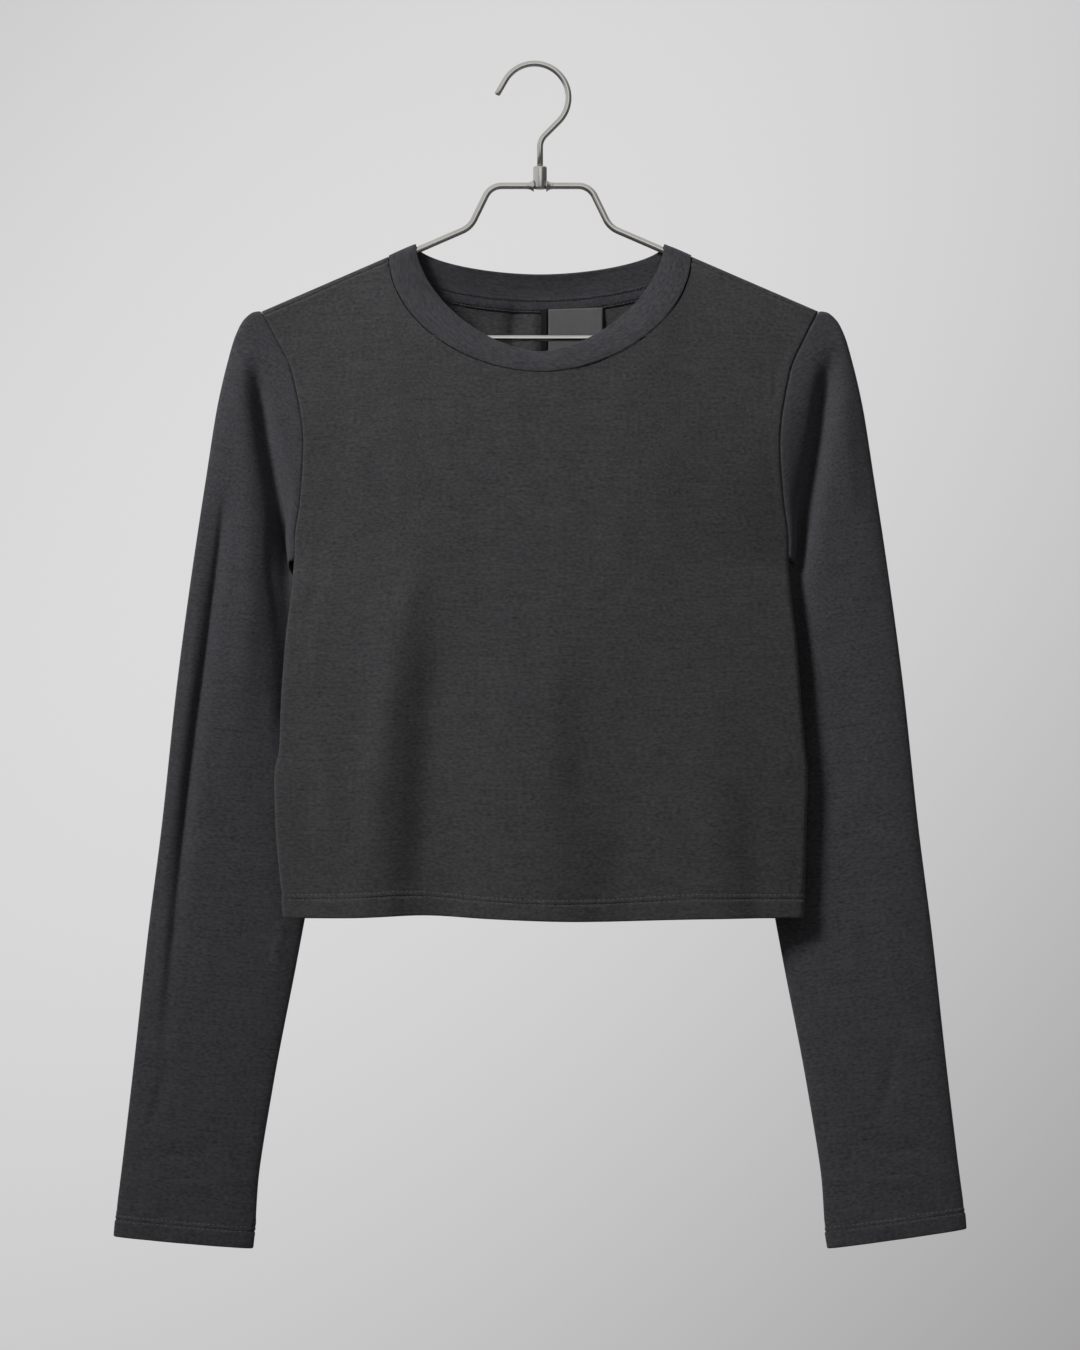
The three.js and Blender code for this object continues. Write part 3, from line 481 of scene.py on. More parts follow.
jerseyLook = {
    "wales": 1.45, "courses": 1.8, "streak": 1.1, "fleck": 1.45, "cloud": 0.34, "paintedGapShade": 0.25,
    "cool": (0.0390, 0.0391, 0.0416), "warm": (0.0392, 0.0402, 0.0382),
    "lint": (0.12, 0.12, 0.12), "lintAmount": 0.35, "rough": 0.9, "specular": 0.14,
    "sheen": 0.16, "sheenTint": (0.55, 0.55, 0.6), "fuzz": 0.5, "bump": 0.55,
}
bodyJersey = makeJersey("charcoal marl jersey, body", jerseyLook)
sleeveJersey = makeJersey("charcoal marl jersey, sleeves", dict(
    jerseyLook, cool=(0.0402, 0.0395, 0.0448), warm=(0.0406, 0.0402, 0.0422)))
tapeCloth = makeJersey("charcoal neck tape", dict(
    jerseyLook, wales=1.8, courses=2.4, streak=0.3, lintAmount=0.0,
    cool=(0.038, 0.037, 0.043), warm=(0.040, 0.039, 0.043)))


def makeThread(name, dark, light):
    mat, tree, shader = newMaterial(name)
    where = tree.nodes.new("ShaderNodeTexCoord").outputs["Object"]
    twist = addNode(tree, "ShaderNodeTexWave", {"Vector": where, "Scale": 900, "Distortion": 1.5})
    tree.links.new(rampNode(tree, twist.outputs["Fac"], dark, light), shader.inputs["Base Color"])
    shader.inputs["Roughness"].default_value = 0.6
    shader.inputs["Sheen Weight"].default_value = 0.15
    return mat


def makeSatin(name, dark, light, rough):
    mat, tree, shader = newMaterial(name)
    place = clothPlace(tree)
    slanted = addNode(tree, "ShaderNodeMapping", {"Vector": place, "Rotation": (0, 0, 0.9)}).outputs[0]
    weave = addNode(tree, "ShaderNodeTexWave", {"Vector": slanted, "Scale": 900, "Distortion": 0.6})
    weave = weave.outputs["Fac"]
    cloud = noiseNode(tree, place, 160, 3)
    tree.links.new(rampNode(tree, blended(tree, weave, cloud, 0.6), dark, light), shader.inputs["Base Color"])
    tree.links.new(mapRange(tree, cloud, 0.3, 0.7, rough - 0.06, rough + 0.06), shader.inputs["Roughness"])
    shader.inputs["Anisotropic"].default_value = 0.5
    shader.inputs["Specular IOR Level"].default_value = 0.2
    addBump(tree, shader, weave, 0.5, 0.08 * mm)
    return mat


def makeSteel():
    mat, tree, shader = newMaterial("satin nickel wire")
    where = tree.nodes.new("ShaderNodeTexCoord").outputs["Object"]
    grain = noiseNode(tree, where, 2600)
    smudge = noiseNode(tree, where, 45, 3)
    tree.links.new(rampNode(tree, smudge, (0.47, 0.455, 0.43), (0.54, 0.525, 0.50), 0.3, 0.7),
                   shader.inputs["Base Color"])
    shader.inputs["Metallic"].default_value = 1
    tree.links.new(mapRange(tree, blended(tree, grain, smudge, 0.5), 0.3, 0.7, 0.2, 0.29),
                   shader.inputs["Roughness"])
    addBump(tree, shader, grain, 0.04, 0.02 * mm)
    return mat


thread = makeThread("charcoal sewing thread", (0.025, 0.025, 0.027), (0.085, 0.085, 0.09))
# partly real stitches, partly painted shade: the near-black colour stands in for the shaded stitch holes
holeShadeThread = makeThread("near-black thread with painted stitch-hole shade", (0.003, 0.003, 0.0035), (0.009, 0.009, 0.01))
labelSatin = makeSatin("dark grey label satin", (0.045, 0.045, 0.046), (0.105, 0.105, 0.108), 0.42)
stripSatin = makeSatin("black strip satin", (0.005, 0.005, 0.0055), (0.012, 0.012, 0.013), 0.55)
steel = makeSteel()
print("materials ready")


# body panels

panelLook = {
    "neckColumns": 64, "shoulderColumns": 44, "rows": 112, "hemRows": 42,
    "ripple": 0.4, "ripplePitch": (34, 74.8), "wrinkle": 0.4, "wrinklePitch": (9, 16),
}
frontCreases = [
    ([(-76, -305), (-101, -415), (-116, -560)], 12, 3.3, 0),
    ([(-66, -370), (-76, -460), (-84, -590)], 13, -3.9, 0),
    ([(12, -330), (10, -440), (12, -545)], 15, 1.6, 0),
    ([(-144, -306), (-149, -347), (-157, -369)], 5, -0.9, 0.3),
    ([(-144, -376), (-150, -405), (-157, -431)], 5, 0.8, 0),
    ([(-99, -351), (-103, -357), (-107, -362)], 2.2, 0.7, -0.3),
    ([(-86, -539), (-74, -536), (-62, -532)], 2.6, 0.7, 0),
    ([(158, -195), (156.5, -212), (154.5, -230)], 2.4, -0.6, 0),
    ([(148, -198), (148, -215), (147.5, -230)], 2.2, -0.45, 0),
    ([(22, -400), (25, -460), (22, -512)], 14, -1.6, 0),
    ([(-20, -380), (-20, -450), (-24, -520)], 15, 1.3, 0),
    ([(-150, -420), (-140, -470), (-138, -540)], 14, 1.8, 0),
    ([(-168, -458), (-160, -466), (-150, -470)], 3, 0.8, 0),
    ([(170, -458), (162, -468), (150, -474)], 3, 0.7, 0),
    ([(-60, -215), (-110, -225), (-150, -262)], 16, -0.8, 0),
    ([(60, -215), (105, -228), (148, -262)], 16, -0.8, 0),
]
backCreases = [
    ([(150, -300), (146, -352), (155, -380)], 6, 0.9, 0),
    ([(-150, -305), (-147, -350), (-156, -392)], 6, 0.8, 0),
    ([(-17, -150), (-18, -190), (-21, -240)], 5, 3, 0),
    ([(-4, -150), (-4, -190), (-5, -235)], 4.5, -2.2, 0),
    ([(-40, -155), (-43, -190), (-50, -230)], 9, 1.6, 0),
    ([(64, -180), (70, -215), (74, -260)], 9, 1.2, 0),
    ([(10, -400), (14, -460), (10, -520)], 13, 1.5, 0),
    ([(-100, -360), (-118, -420), (-126, -500)], 12, -1.6, 0),
    ([(110, -380), (124, -440), (130, -520)], 12, 1.5, 0),
]


def panelColumns(panel):
    angles = 90 * (1 - np.linspace(0, 1, panelLook["neckColumns"]) ** 1.15)
    tilt = np.radians(angles)
    drop = panel["neckDrop"] * np.sin(tilt) ** (2 / panel["neckPower"])
    neck = np.stack([body["neckX"] * np.abs(np.cos(tilt)) ** (2 / panel["neckPower"]),
                     float(ridgeZ(body["neckX"])) - drop, 1 - roll(drop, ridgeBend) / ridgeBend,
                     body["neckShare"] * (1 - angles / 90)], 1)
    share = 1 - (1 - np.linspace(0, 1, panelLook["shoulderColumns"])) ** 1.6
    x = lerp(body["neckX"], body["shoulderX"], share)
    shoulder = np.stack([x, ridgeZ(x), np.ones_like(x), lerp(body["neckShare"], 1, share)], 1)[1:]
    half = np.concatenate([neck, shoulder])
    other = half[::-1] * np.array([-1, 1, 1, -1])
    return np.concatenate([other[:-1], half])


seamLook = {
    "dip": 1.8, "dipWidth": 0.7, "swell": 0.2, "swellAt": 3, "swellWidth": 1.7,
    "pucker": 0.22, "puckerPitch": 6, "puckerReach": 5,
}


def seamRelief(away, along, seed):  # cloth dips into a sewn seam, swells beside it and puckers unevenly
    pucker = softNoise(along / seamLook["puckerPitch"], 0 * along, seed) * smooth(away / 2)
    pucker *= np.exp(-away / seamLook["puckerReach"])
    return (seamLook["swell"] * bell((away - seamLook["swellAt"]) / seamLook["swellWidth"])
            - seamLook["dip"] * bell(away / seamLook["dipWidth"]) + seamLook["pucker"] * pucker)


def shoulderSeam(panel, down, x, seed):  # the seam is rolled a little to the front
    line = 3.4 + 0.5 * softNoise(x / 30, 0 * x, seed)
    if panel["out"] > 0:
        return 0.25 * bell((down - line - 1) / 2)
    return -0.6 * bell((down - line) / 0.7) + 0.35 * bell((down - line - 2.2) / 1.4)


def sideBow(panel, sign, level):  # how far the edge stands out of the straight line down from the tip
    ease = panel["ease"] * np.sin(np.pi * np.clip(level / body["underarm"], 0, 1))
    straight = lerp(body["shoulderX"], sideAt(sign, body["drop"]), level / body["drop"])
    return sideAt(sign, level) + ease - straight


def panelGrid(panel, drops, creases, seed):
    top = panelColumns(panel)
    topX, topZ, ridge, share = (top[None, :, k] for k in range(4))
    drop = np.asarray(drops, float)[:, None] + 0 * share
    v = drop / body["drop"]
    sign = np.where(share < 0, -1, 1)
    hemX = share * sideAt(sign, body["drop"])
    z = lerp(topZ, hemZ(hemX), v)
    level = np.maximum(0, tipZ - z)  # below the shoulder tip
    atTop = sideBow(panel, sign, np.maximum(0, tipZ - topZ)) * (1 - v)
    x = lerp(topX, hemX, v) + sign * share ** 2 * (sideBow(panel, sign, level) - atTop)
    halfHere = sideAt(sign, level)
    onArmhole = level < body["underarm"]
    edge = np.minimum(1, np.abs(x) / halfHere) ** 3
    atSide = panel["out"] * sideLean(level) + armholeRise(panel, level / body["underarm"])
    belowRidge = ridgeZ(x) - z
    calm = smooth(belowRidge / 30) * smooth((1 - np.abs(share)) * 12)
    fine = creaseHeight(creases, x, z)
    ripple, wrinkle = panelLook["ripplePitch"], panelLook["wrinklePitch"]
    fine += panelLook["ripple"] * (
        softNoise(x / ripple[0], z / ripple[1], seed)
        + panelLook["wrinkle"] * softNoise(x / wrinkle[0], z / wrinkle[1], seed + 3))
    ease = panel["ease"] * np.sin(np.pi * np.clip(level / body["underarm"], 0, 1))
    toSide = np.maximum(0, halfHere + ease - np.abs(x))
    sewn = seamRelief(toSide, z, seed + 9) * onArmhole + shoulderSeam(panel, belowRidge, x, seed) * ridge
    depth = bodyDepth(panel, x, z, halfHere) + edge * atSide + (1 - edge) * foldHeight(panel, x, z)
    depth = depth + calm * fine + sewn * smooth(belowRidge / 1.2)
    overArm = ridge * (ridgeBend - roll(topZ - z, ridgeBend))
    turn = 1 - roll(np.maximum(0, body["underarm"] - level), ridgeBend) / ridgeBend
    intoSeam = turn * (ridgeBend - roll(np.maximum(0, halfHere - np.abs(x)), ridgeBend))
    return np.stack([x, panel["out"] * (depth - np.maximum(overArm, intoSeam)), z], -1), share[0]


def outward(grid, normal, out):  # turns a grid's normals to the outside of the garment
    middle = normal[normal.shape[0] // 2, normal.shape[1] // 2]
    return normal * (1 if middle[1] * out > 0 else -1)


def turnedHem(grid, normal, height, fold):  # rows that fold under the last row and run back up inside
    rows, last, down = [], grid[-1], grid[-1] - grid[-3]
    down = down / np.linalg.norm(down, axis=1, keepdims=True)
    n = normal[-2]
    for angle in np.radians([35, 70, 110, 145, 180]):
        rows.append(last - n * fold * (1 - np.cos(angle)) / 2 + down * fold * 0.5 * np.sin(angle))
    runs = np.concatenate([[0], np.cumsum(np.linalg.norm(np.diff(grid[::-1], axis=0), axis=2).mean(1))])
    for step in np.linspace(0.1, 1, 9) * height:
        k = np.interp(step, runs, np.arange(len(runs)))
        low = int(k)
        at = lerp(grid[::-1][low], grid[::-1][low + 1], k - low)
        rows.append(at - normal[::-1][low] * fold)
    return np.concatenate([grid, np.array(rows)])


hemLook = {"upper": 14.3, "lower": 11.3, "turn": 15.5, "fold": 1.25}  # its stitch rows, above the edge
hemForm = {
    "proud": 0.6, "proudEdge": 1.2, "upperPinch": 0.65, "lowerPinch": 0.8, "pinchWidth": 0.75,
    "valley": 0.2, "pucker": 0.4, "ripple": 0.3, "columnStep": 0.21,
}
stitchLook = {"pitch": 3.1, "radius": 0.36, "proud": 0.2}


def hemRelief(grid, normal, down, look, seed):
    # the stitched band stands proud at its edge, pinches in at the two rows, and puckers a little above them
    across = np.arange(grid.shape[1])[None] * hemForm["columnStep"]
    upper, lower = look["upper"], look["lower"]
    width, edge = hemForm["pinchWidth"], hemForm["proudEdge"]
    pucker = softNoise(across * 1.7, down / 7, seed) * bell((down - upper - 3) / 5)
    ripple = softNoise(across, down / 9, seed + 1) * smooth((20 - down) / 6)
    push = (hemForm["proud"] * smooth((upper + edge - down) / edge)
            - hemForm["upperPinch"] * bell((down - upper) / width)
            - hemForm["lowerPinch"] * bell((down - lower) / width)
            - hemForm["valley"] * bell((down - (upper + lower) / 2) / 0.8)
            + hemForm["pucker"] * pucker + hemForm["ripple"] * ripple)
    return grid + normal * push[..., None]


def sewHem(name, grid, normal, down, look, columns):  # the two rows of stitches along a hem's columns
    sewn = []
    for label in ("upper", "lower"):
        rows = np.argmin(np.abs(down - look[label]), 0)[columns]
        sewn.append(threadRow(f"{name}_stitch_{label}", grid[rows, columns], normal[rows, columns],
                              stitchLook, thread))
    return sewn


def makePanel(name, panel, creases, seed):
    out = panel["out"]
    overWire = [0, 0.3, 0.7, 1.1, 1.6, 2, 2.4, 2.8, 3.2, 3.6, 4, 4.4, 4.8, 5.4, 6.2]
    drops = overWire + list(np.linspace(8, body["drop"] - 22, panelLook["rows"]))
    drops += list(np.linspace(body["drop"] - 21, body["drop"], panelLook["hemRows"]))
    grid, share = panelGrid(panel, drops, creases, seed)
    normal = outward(grid, gridNormals(grid), out)
    down = (body["drop"] - np.array(drops))[:, None] + 0 * share[None]
    grid = hemRelief(grid, normal, down, hemLook, seed + 5)
    edge = np.abs(share) > 0.9999
    grid[:, edge, 0] -= np.sign(share[edge]) * 0.1
    folded = turnedHem(grid, normal, hemLook["turn"], hemLook["fold"])
    obj = clothObject(name, folded, bodyJersey, flip=out > 0, fromHem=True)
    sewn = sewHem(f"{name}_hem", grid, normal, down, hemLook, np.arange(2, len(share) - 2))
    return obj, sewn, grid, normal


frontPiece, frontSewing, frontGrid, frontNormal = makePanel("front_panel", front, frontCreases, 11)
backPiece, backSewing, backGrid, backNormal = makePanel("back_panel", back, backCreases, 47)
print("body panels ready")


# sleeves

sleeve = {
    "sections": [  # outer x, y, z; inner x, y, z; front reach, back reach
        (185.2, 0, -163.3, 163.6, 0, -328.3, 11, 12), (190.5, 0, -163.8, 167.4, 3.2, -329.4, 11, 12),
        (197, 0.5, -168.6, 168, 8.2, -333, 11, 12), (202.6, 1, -179, 164, 12.2, -341, 11, 12),
        (208.3, 2, -198, 156, 15, -356, 11, 12), (214.8, 3, -226, 148, 15.5, -378, 10.5, 11),
        (222.6, 5, -274, 143.8, 16.5, -410, 10, 10), (232, 7, -335.3, 142.6, 17, -448, 9.5, 9.5),
        (242.3, 8, -412, 145.6, 16.5, -494, 9, 9), (252.6, 9, -507, 154.3, 15.5, -548, 9, 8.5),
        (262, 9, -581, 163.6, 14, -599, 8.5, 8), (271, 9, -664, 178.5, 12, -677, 8, 7.5),
        (279, 9, -733, 189, 11, -745, 7.5, 7), (283, 9, -766, 191, 11, -774.4, 7.5, 7),
        (284, 9, -779.6, 193, 11, -787.8, 7, 6.5),
    ],
    "freeFrom": 5, "around": 144, "rings": 240, "cuffLift": {-1: 0, 1: 5},
    "ripple": 0.35, "backRipple": 0.9, "wrinkle": 0.14,
    "troughs": {  # three points (x out from the middle, z), width, depth
        -1: [(191.5, -190, 182, -250, 166.5, -345, 6.2, 11),
             (173, -294, 168.5, -354, 167, -460, 9, 9),
             (214, -274, 229, -412, 250, -575, 6, 3)],
        1: [(194, -184, 187, -238, 170.5, -345, 7.2, 10.5),
            (174, -295, 172.5, -362, 175, -450, 7, 5)],
    },
}
sleeveCreases = {
    -1: [
        ([(-178, -237), (-170, -268), (-163.5, -298)], 2.6, -0.8, 0),
        ([(-176, -292), (-178.5, -302), (-180.5, -318), (-180.5, -340), (-177, -362),
          (-175.5, -395)], 2.8, -2.2, 0.2),
        ([(-222, -575), (-222, -598), (-222, -620)], 4, 0.7, 0),
        ([(-172, -566), (-175, -586), (-177, -605)], 4, 1.1, 0),
        ([(-176, -420), (-179, -428), (-182, -436)], 2.6, 0.9, 0),
        ([(-248, -664), (-258, -697), (-263, -711)], 4, -1.2, 0.3),
        ([(-262, -722), (-240, -727), (-212, -722)], 4, -0.8, 0),
        ([(-255, -744), (-235, -748), (-205, -742)], 3.5, 0.7, 0),
        ([(-205, -205), (-207, -240), (-212, -280)], 8, 1.2, 0),
        ([(-209, -275), (-211, -292), (-213.5, -312), (-218.5, -350), (-224, -392), (-229.5, -430),
          (-236.5, -489), (-243, -555), (-249.5, -622), (-254.5, -700)], 4.4, -5, 0.45),
        ([(-219, -300), (-228, -370), (-237, -440), (-249, -540), (-257, -640)], 4, 1.6, 0),
        ([(-199, -184), (-198, -194), (-197, -204), (-195, -262), (-193, -302), (-193, -355),
          (-199, -422), (-205, -520)], 11, 4.5, 0),
    ],
    1: [
        ([(209, -550), (209, -585), (209, -618)], 4.5, 0.9, 0),
        ([(240, -646), (233, -680), (226, -708)], 4, -1.2, -0.3),
        ([(262, -718), (240, -724), (210, -716)], 4, -0.8, 0),
        ([(258, -740), (236, -745), (206, -738)], 3.5, 0.7, 0),
        ([(203, -210), (205, -260), (209, -310)], 7, 1.4, 0),
    ],
}
cuffLook = {"upper": 13.2, "lower": 10.4, "turn": 14.4, "fold": 1.2}


def troughDepth(table, x, z):
    total = 0
    for ax, az, bx, bz, cx, cz, width, depth in table:
        upper = z > bz
        t = np.where(upper, (az - z) / (az - bz), (bz - z) / (bz - cz))
        line = np.where(upper, lerp(ax, bx, t), lerp(bx, cx, t))
        run = np.where(upper, t / 2, 0.5 + t / 2)
        ends = smooth(run / 0.4 + 0.1) * smooth((1 - run) / 0.25 + 0.2)
        total = total + depth * ends * bell((x - line) / width)
    return total


def makeSleeve(name, sign, seed):
    table = np.array(sleeve["sections"])
    steps = np.arange(len(table))
    last = len(table) - 1
    half = sleeve["around"] // 2
    rings = np.concatenate([np.linspace(0, 1, 16)[:-1] ** 1.5, np.linspace(1, 5, 46)[:-1],
                            np.linspace(5, last, sleeve["rings"] - 46)])[:, None]
    even = np.arange(half + 1) / half
    face = np.concatenate([-np.ones(half), np.ones(half)])  # front wall first, then back to the start
    turns = np.concatenate([even[:-1], even[:0:-1]])
    outX, outY, outZ, inX, inY, inZ, frontReach, backReach = (
        curveThrough(steps, table[:, k])(rings) for k in range(8))
    reach = np.where(face < 0, frontReach, backReach)
    free = smooth(rings / sleeve["freeFrom"])
    share = (1 - np.cos(np.pi * turns))[None] / 2 + 0 * rings
    drop = body["underarm"] * share
    width = halfWidth[sign]
    ease = np.where(face < 0, front["ease"], back["ease"]) * np.sin(np.pi * share)
    bow = width(drop) + ease - lerp(body["shoulderX"], float(width(body["underarm"])), share)
    spare = float(width(body["underarm"]) - halfWidth[-1](body["underarm"]))
    inShift = spare * (1 - smooth(rings / sleeve["freeFrom"] - 0.3))
    lift = sleeve["cuffLift"][sign] * smooth((rings - 10) / (last - 10)) * (1 - share)
    x = lerp(outX, inX + inShift, share) + bow * (1 - free)
    z = lerp(outZ, inZ, share) + lift
    nearEdge = np.minimum(drop, body["underarm"] - drop)
    rise = np.where(face < 0, armholeRise(front, share), armholeRise(back, share))
    loose = reach * np.maximum(0, 4 * share * (1 - share)) ** 0.4
    y = lerp(outY, inY, share) + face * lerp(roll(nearEdge, ridgeBend) + rise, loose, free)
    onFront = (face < 0) * smooth(np.sin(np.pi * turns) * 3)
    y = y + np.where(face < 0, troughDepth(sleeve["troughs"][sign], x, z) * smooth(rings / 3), 0)
    calm = smooth(rings / 1.5)
    fine = creaseHeight(sleeveCreases[sign], sign * x, z)
    fine = fine + sleeve["ripple"] * softNoise(x / 26, z / 60, seed)
    fine = fine + sleeve["wrinkle"] * softNoise(x / 8, z / 15, seed + 2)
    y = y - onFront * fine * calm
    onBack = (face > 0) * smooth(np.sin(np.pi * turns) * 3)
    soft = sleeve["backRipple"] * softNoise(x / 22, z / 70, seed + 7)
    soft = soft + sleeve["wrinkle"] * softNoise(x / 8, z / 15, seed + 9)
    y = y + onBack * calm * soft
    grid = np.stack([sign * x, y, z], -1)
    normal = gridNormals(grid, True)
    middle = grid.mean(1, keepdims=True)
    if ((grid - middle) * normal).sum(2)[len(rings) // 2].mean() < 0:
        normal = -normal
    fromSeam = 5 * rings + 0 * share
    grid = grid + normal * (seamRelief(fromSeam, z, seed + 30) * (rings < 2.5))[..., None]
    down = runAlong(grid[::-1], 0)[::-1]
    grid = hemRelief(grid, normal, down, cuffLook, seed + 20)
    grid[0, :, 0] += sign * 0.1  # clear of the panels' seam
    folded = turnedHem(grid, normal, cuffLook["turn"], cuffLook["fold"])
    obj = clothObject(name, folded, sleeveJersey, closed=True, flip=sign > 0, fromHem=True)
    sewn = sewHem(f"{name}_cuff", grid, normal, down, cuffLook, np.append(np.arange(grid.shape[1]), 0))
    return obj, sewn


leftPiece, leftSewing = makeSleeve("left_sleeve", -1, 71)
rightPiece, rightSewing = makeSleeve("right_sleeve", 1, 93)
print("sleeves ready")


# neckband: out of the neck seam, over its folded top edge and down the inside

band = {
    "topX": 83.3,
    "topDrop": {-1: 72.8, 1: 19.1}, "topPower": {-1: 1.68, 1: 1.8}, "topDepth": {-1: 17.4, 1: 12},
    "wall": 1.9, "around": 360, "ripple": 0.22,
}


def bandPoint(panel, degrees, sign, share):
    out, tilt = panel["out"], np.radians(degrees)
    seamX = body["neckX"] * np.abs(np.cos(tilt)) ** (2 / panel["neckPower"])
    seamDrop = panel["neckDrop"] * np.sin(tilt) ** (2 / panel["neckPower"])
    topX = band["topX"] * np.abs(np.cos(tilt)) ** (2 / band["topPower"][out])
    topDrop = band["topDrop"][out] * np.sin(tilt) ** (2 / band["topPower"][out])
    bandZ = float(armZ(band["topX"])) + bandBend / math.cos(hanger["armSlope"])
    lift = (bandBend - ridgeBend) * (1 - np.clip(seamDrop / 10, 0, 1))
    seamZ = float(ridgeZ(body["neckX"])) + lift - seamDrop
    seamY = roll(seamDrop, bandBend) + bodyDepth(panel, seamX, seamZ, body["shoulderX"]) - ridgeBend
    topY = roll(topDrop, bandBend) + (band["topDepth"][out] - bandBend) * (1 - (topX / band["topX"]) ** 2)
    return np.stack([sign * lerp(seamX, topX, share), out * lerp(seamY, topY, share ** 1.8),
                     lerp(seamZ, bandZ - topDrop, share)], -1)


def makeNeckband():
    quarter = band["around"] // 4
    rise = 90 * np.linspace(0, 1, quarter + 1) ** 1.25
    turnsFront = [(front, -1, a) for a in rise] + [(front, 1, a) for a in rise[::-1][1:]]
    turnsBack = [(back, 1, a) for a in rise[1:]] + [(back, -1, a) for a in rise[::-1][1:-1]]
    shares = np.linspace(0.03, 1, 26)
    ring = turnsFront + turnsBack
    middle = np.array([[bandPoint(p, a, s, t) for p, s, a in ring] for t in shares])
    normal = gridNormals(middle, True)
    if normal[8, quarter // 2, 1] > 0:
        normal = -normal
    around = np.cumsum(np.linalg.norm(np.roll(middle[0], -1, 0) - middle[0], axis=1))
    wave = band["ripple"] * softNoise(around[None] / 7, shares[:, None] * 2, 5) * (1 - shares[:, None] * 0.5)
    half = (band["wall"] - body["cloth"]) / 2  # from the middle of the band to the middle of each layer
    plump = half * (0.8 + 0.5 * np.sin(np.pi * shares))[:, None]  # a folded band is fuller in the middle
    outer = middle + normal * (plump + wave)[..., None]
    inner = middle - normal * (plump - wave * 0.6)[..., None]
    up = middle[-1] - middle[-3]
    up /= np.linalg.norm(up, axis=1, keepdims=True)
    cap = [middle[-1] + normal[-1] * (plump[-1] * math.cos(a))[:, None] + up * half * 0.8 * math.sin(a)
           for a in np.radians([30, 60, 90, 120, 150])]
    grid = np.concatenate([outer, np.array(cap), inner[::-1]])
    return clothObject("neck_band", grid, sleeveJersey, closed=True, thickness=body["cloth"] * 0.85)


neckPiece = makeNeckband()
print("neckband ready")


# trims inside the back neck, laid on the back panel's inner side

def innerY(x, z):  # y of the back panel at x and z, from the nearest point of its grid
    flatGrid = backGrid.reshape(-1, 3)
    flatNormal = backNormal.reshape(-1, 3)
    k = np.argmin((flatGrid[:, 0] - x) ** 2 + (flatGrid[:, 2] - z) ** 2)
    p, n = flatGrid[k], flatNormal[k]
    return p[1] - (n[0] * (x - p[0]) + n[2] * (z - p[2])) / n[1]


def backSeamZ(x):
    share = (1 - np.abs(x / body["neckX"]) ** back["neckPower"]) ** (1 / back["neckPower"])
    return float(ridgeZ(body["neckX"])) - back["neckDrop"] * share


def trimGrid(xs, downs, zAt, awayAt):
    grid = np.zeros((len(downs), len(xs), 3))
    for i, d in enumerate(downs):
        for j, x in enumerate(xs):
            z = zAt(x, d)
            grid[i, j] = (x, innerY(x, z) - awayAt(x, d), z)
    return grid


tapeLook = {
    "halfX": 88, "over": 1.8, "height": 9.2, "away": 1.15, "wall": 0.9, "bulge": 0.45,
    "onBand": 0.55, "ripple": 0.12, "groove": 0.6, "grooveWidth": 0.06,
}
tapeRows = {"upper": 0.2, "lower": 0.87}  # shares of its height
labelLook = {"x0": 5.6, "x1": 42, "top": -160.2, "bottom": -192, "away": 2.1, "lean": 2.2, "wall": 0.35}
stripLook = {"x0": 0.6, "x1": 4.9, "top": -160.2, "bottom": -190, "away": 1.9, "lean": 1.6, "wall": 0.35}


def makeTape():
    xs = np.linspace(-tapeLook["halfX"], tapeLook["halfX"], 150)
    downs = np.linspace(0, 1, 37)

    def zAt(x, d):
        return backSeamZ(x) + tapeLook["over"] - tapeLook["height"] * d

    def awayAt(x, d):
        onBand = tapeLook["onBand"] * float(smooth((0.35 - d) / 0.25))  # its top lies on the thicker band
        wave = tapeLook["ripple"] * float(softNoise(x / 9, d, 4))
        grooves = tapeLook["groove"] * sum(
            float(bell((d - row) / tapeLook["grooveWidth"])) for row in tapeRows.values())
        return tapeLook["away"] + onBand + tapeLook["bulge"] * math.sin(math.pi * d) + wave - grooves
    grid = trimGrid(xs, downs, zAt, awayAt)
    obj = clothObject("neck_seam_tape", grid, tapeCloth, thickness=tapeLook["wall"])
    inward = np.tile([0.0, -1.0, 0.0], (len(xs), 1))
    # these stitches are real, and their near-black thread is painted shade for the stitch holes
    sewn = [threadRow(f"neck_tape_stitch_{label}", grid[k] - [0, tapeLook["wall"] / 2, 0], inward,
                      dict(stitchLook, pitch=2.6, radius=0.5), holeShadeThread)
            for label, k in ((label, int(36 * row)) for label, row in tapeRows.items())]
    return obj, sewn


def makeLabel(name, look, material, wave):
    xs = np.linspace(look["x0"], look["x1"], max(5, int((look["x1"] - look["x0"]) / 1.2)))
    downs = np.linspace(0, 1, 26)

    def zAt(x, d):
        return lerp(look["top"], look["bottom"], d) + 0.03 * (x - look["x0"])

    def awayAt(x, d):
        return look["away"] + look["lean"] * math.sin(math.pi / 2 * d) + wave * math.sin(
            (x - look["x0"]) / (look["x1"] - look["x0"]) * 5 + 1) * d
    grid = trimGrid(xs, downs, zAt, awayAt)
    return clothObject(name, grid, material, thickness=look["wall"])


tapePiece, tapeSewing = makeTape()
labelPiece = makeLabel("blank_neck_label", labelLook, labelSatin, 0.35)
stripPiece = makeLabel("blank_size_strip", stripLook, stripSatin, 0.1)
print("neck trims ready")


# hanger

def bentCorner(before, corner, after, radius, steps):
    before, corner, after = (np.array(p, float) for p in (before, corner, after))
    into, out = (corner - before), (after - corner)
    into, out = into / np.linalg.norm(into), out / np.linalg.norm(out)
    turn = math.atan2(into[0] * out[1] - into[1] * out[0], into.dot(out))
    start = corner - into * radius * math.tan(abs(turn) / 2)
    side = math.copysign(1, turn)
    centre = start + side * radius * np.array([-into[1], into[0]])
    points = []
    for a in np.linspace(0, turn, steps):
        c, s = math.cos(a), math.sin(a)
        r = start - centre
        points.append(centre + np.array([c * r[0] - s * r[1], s * r[0] + c * r[1]]))
    return points


def upright(points):
    return [(p[0], 0, p[1]) for p in points]


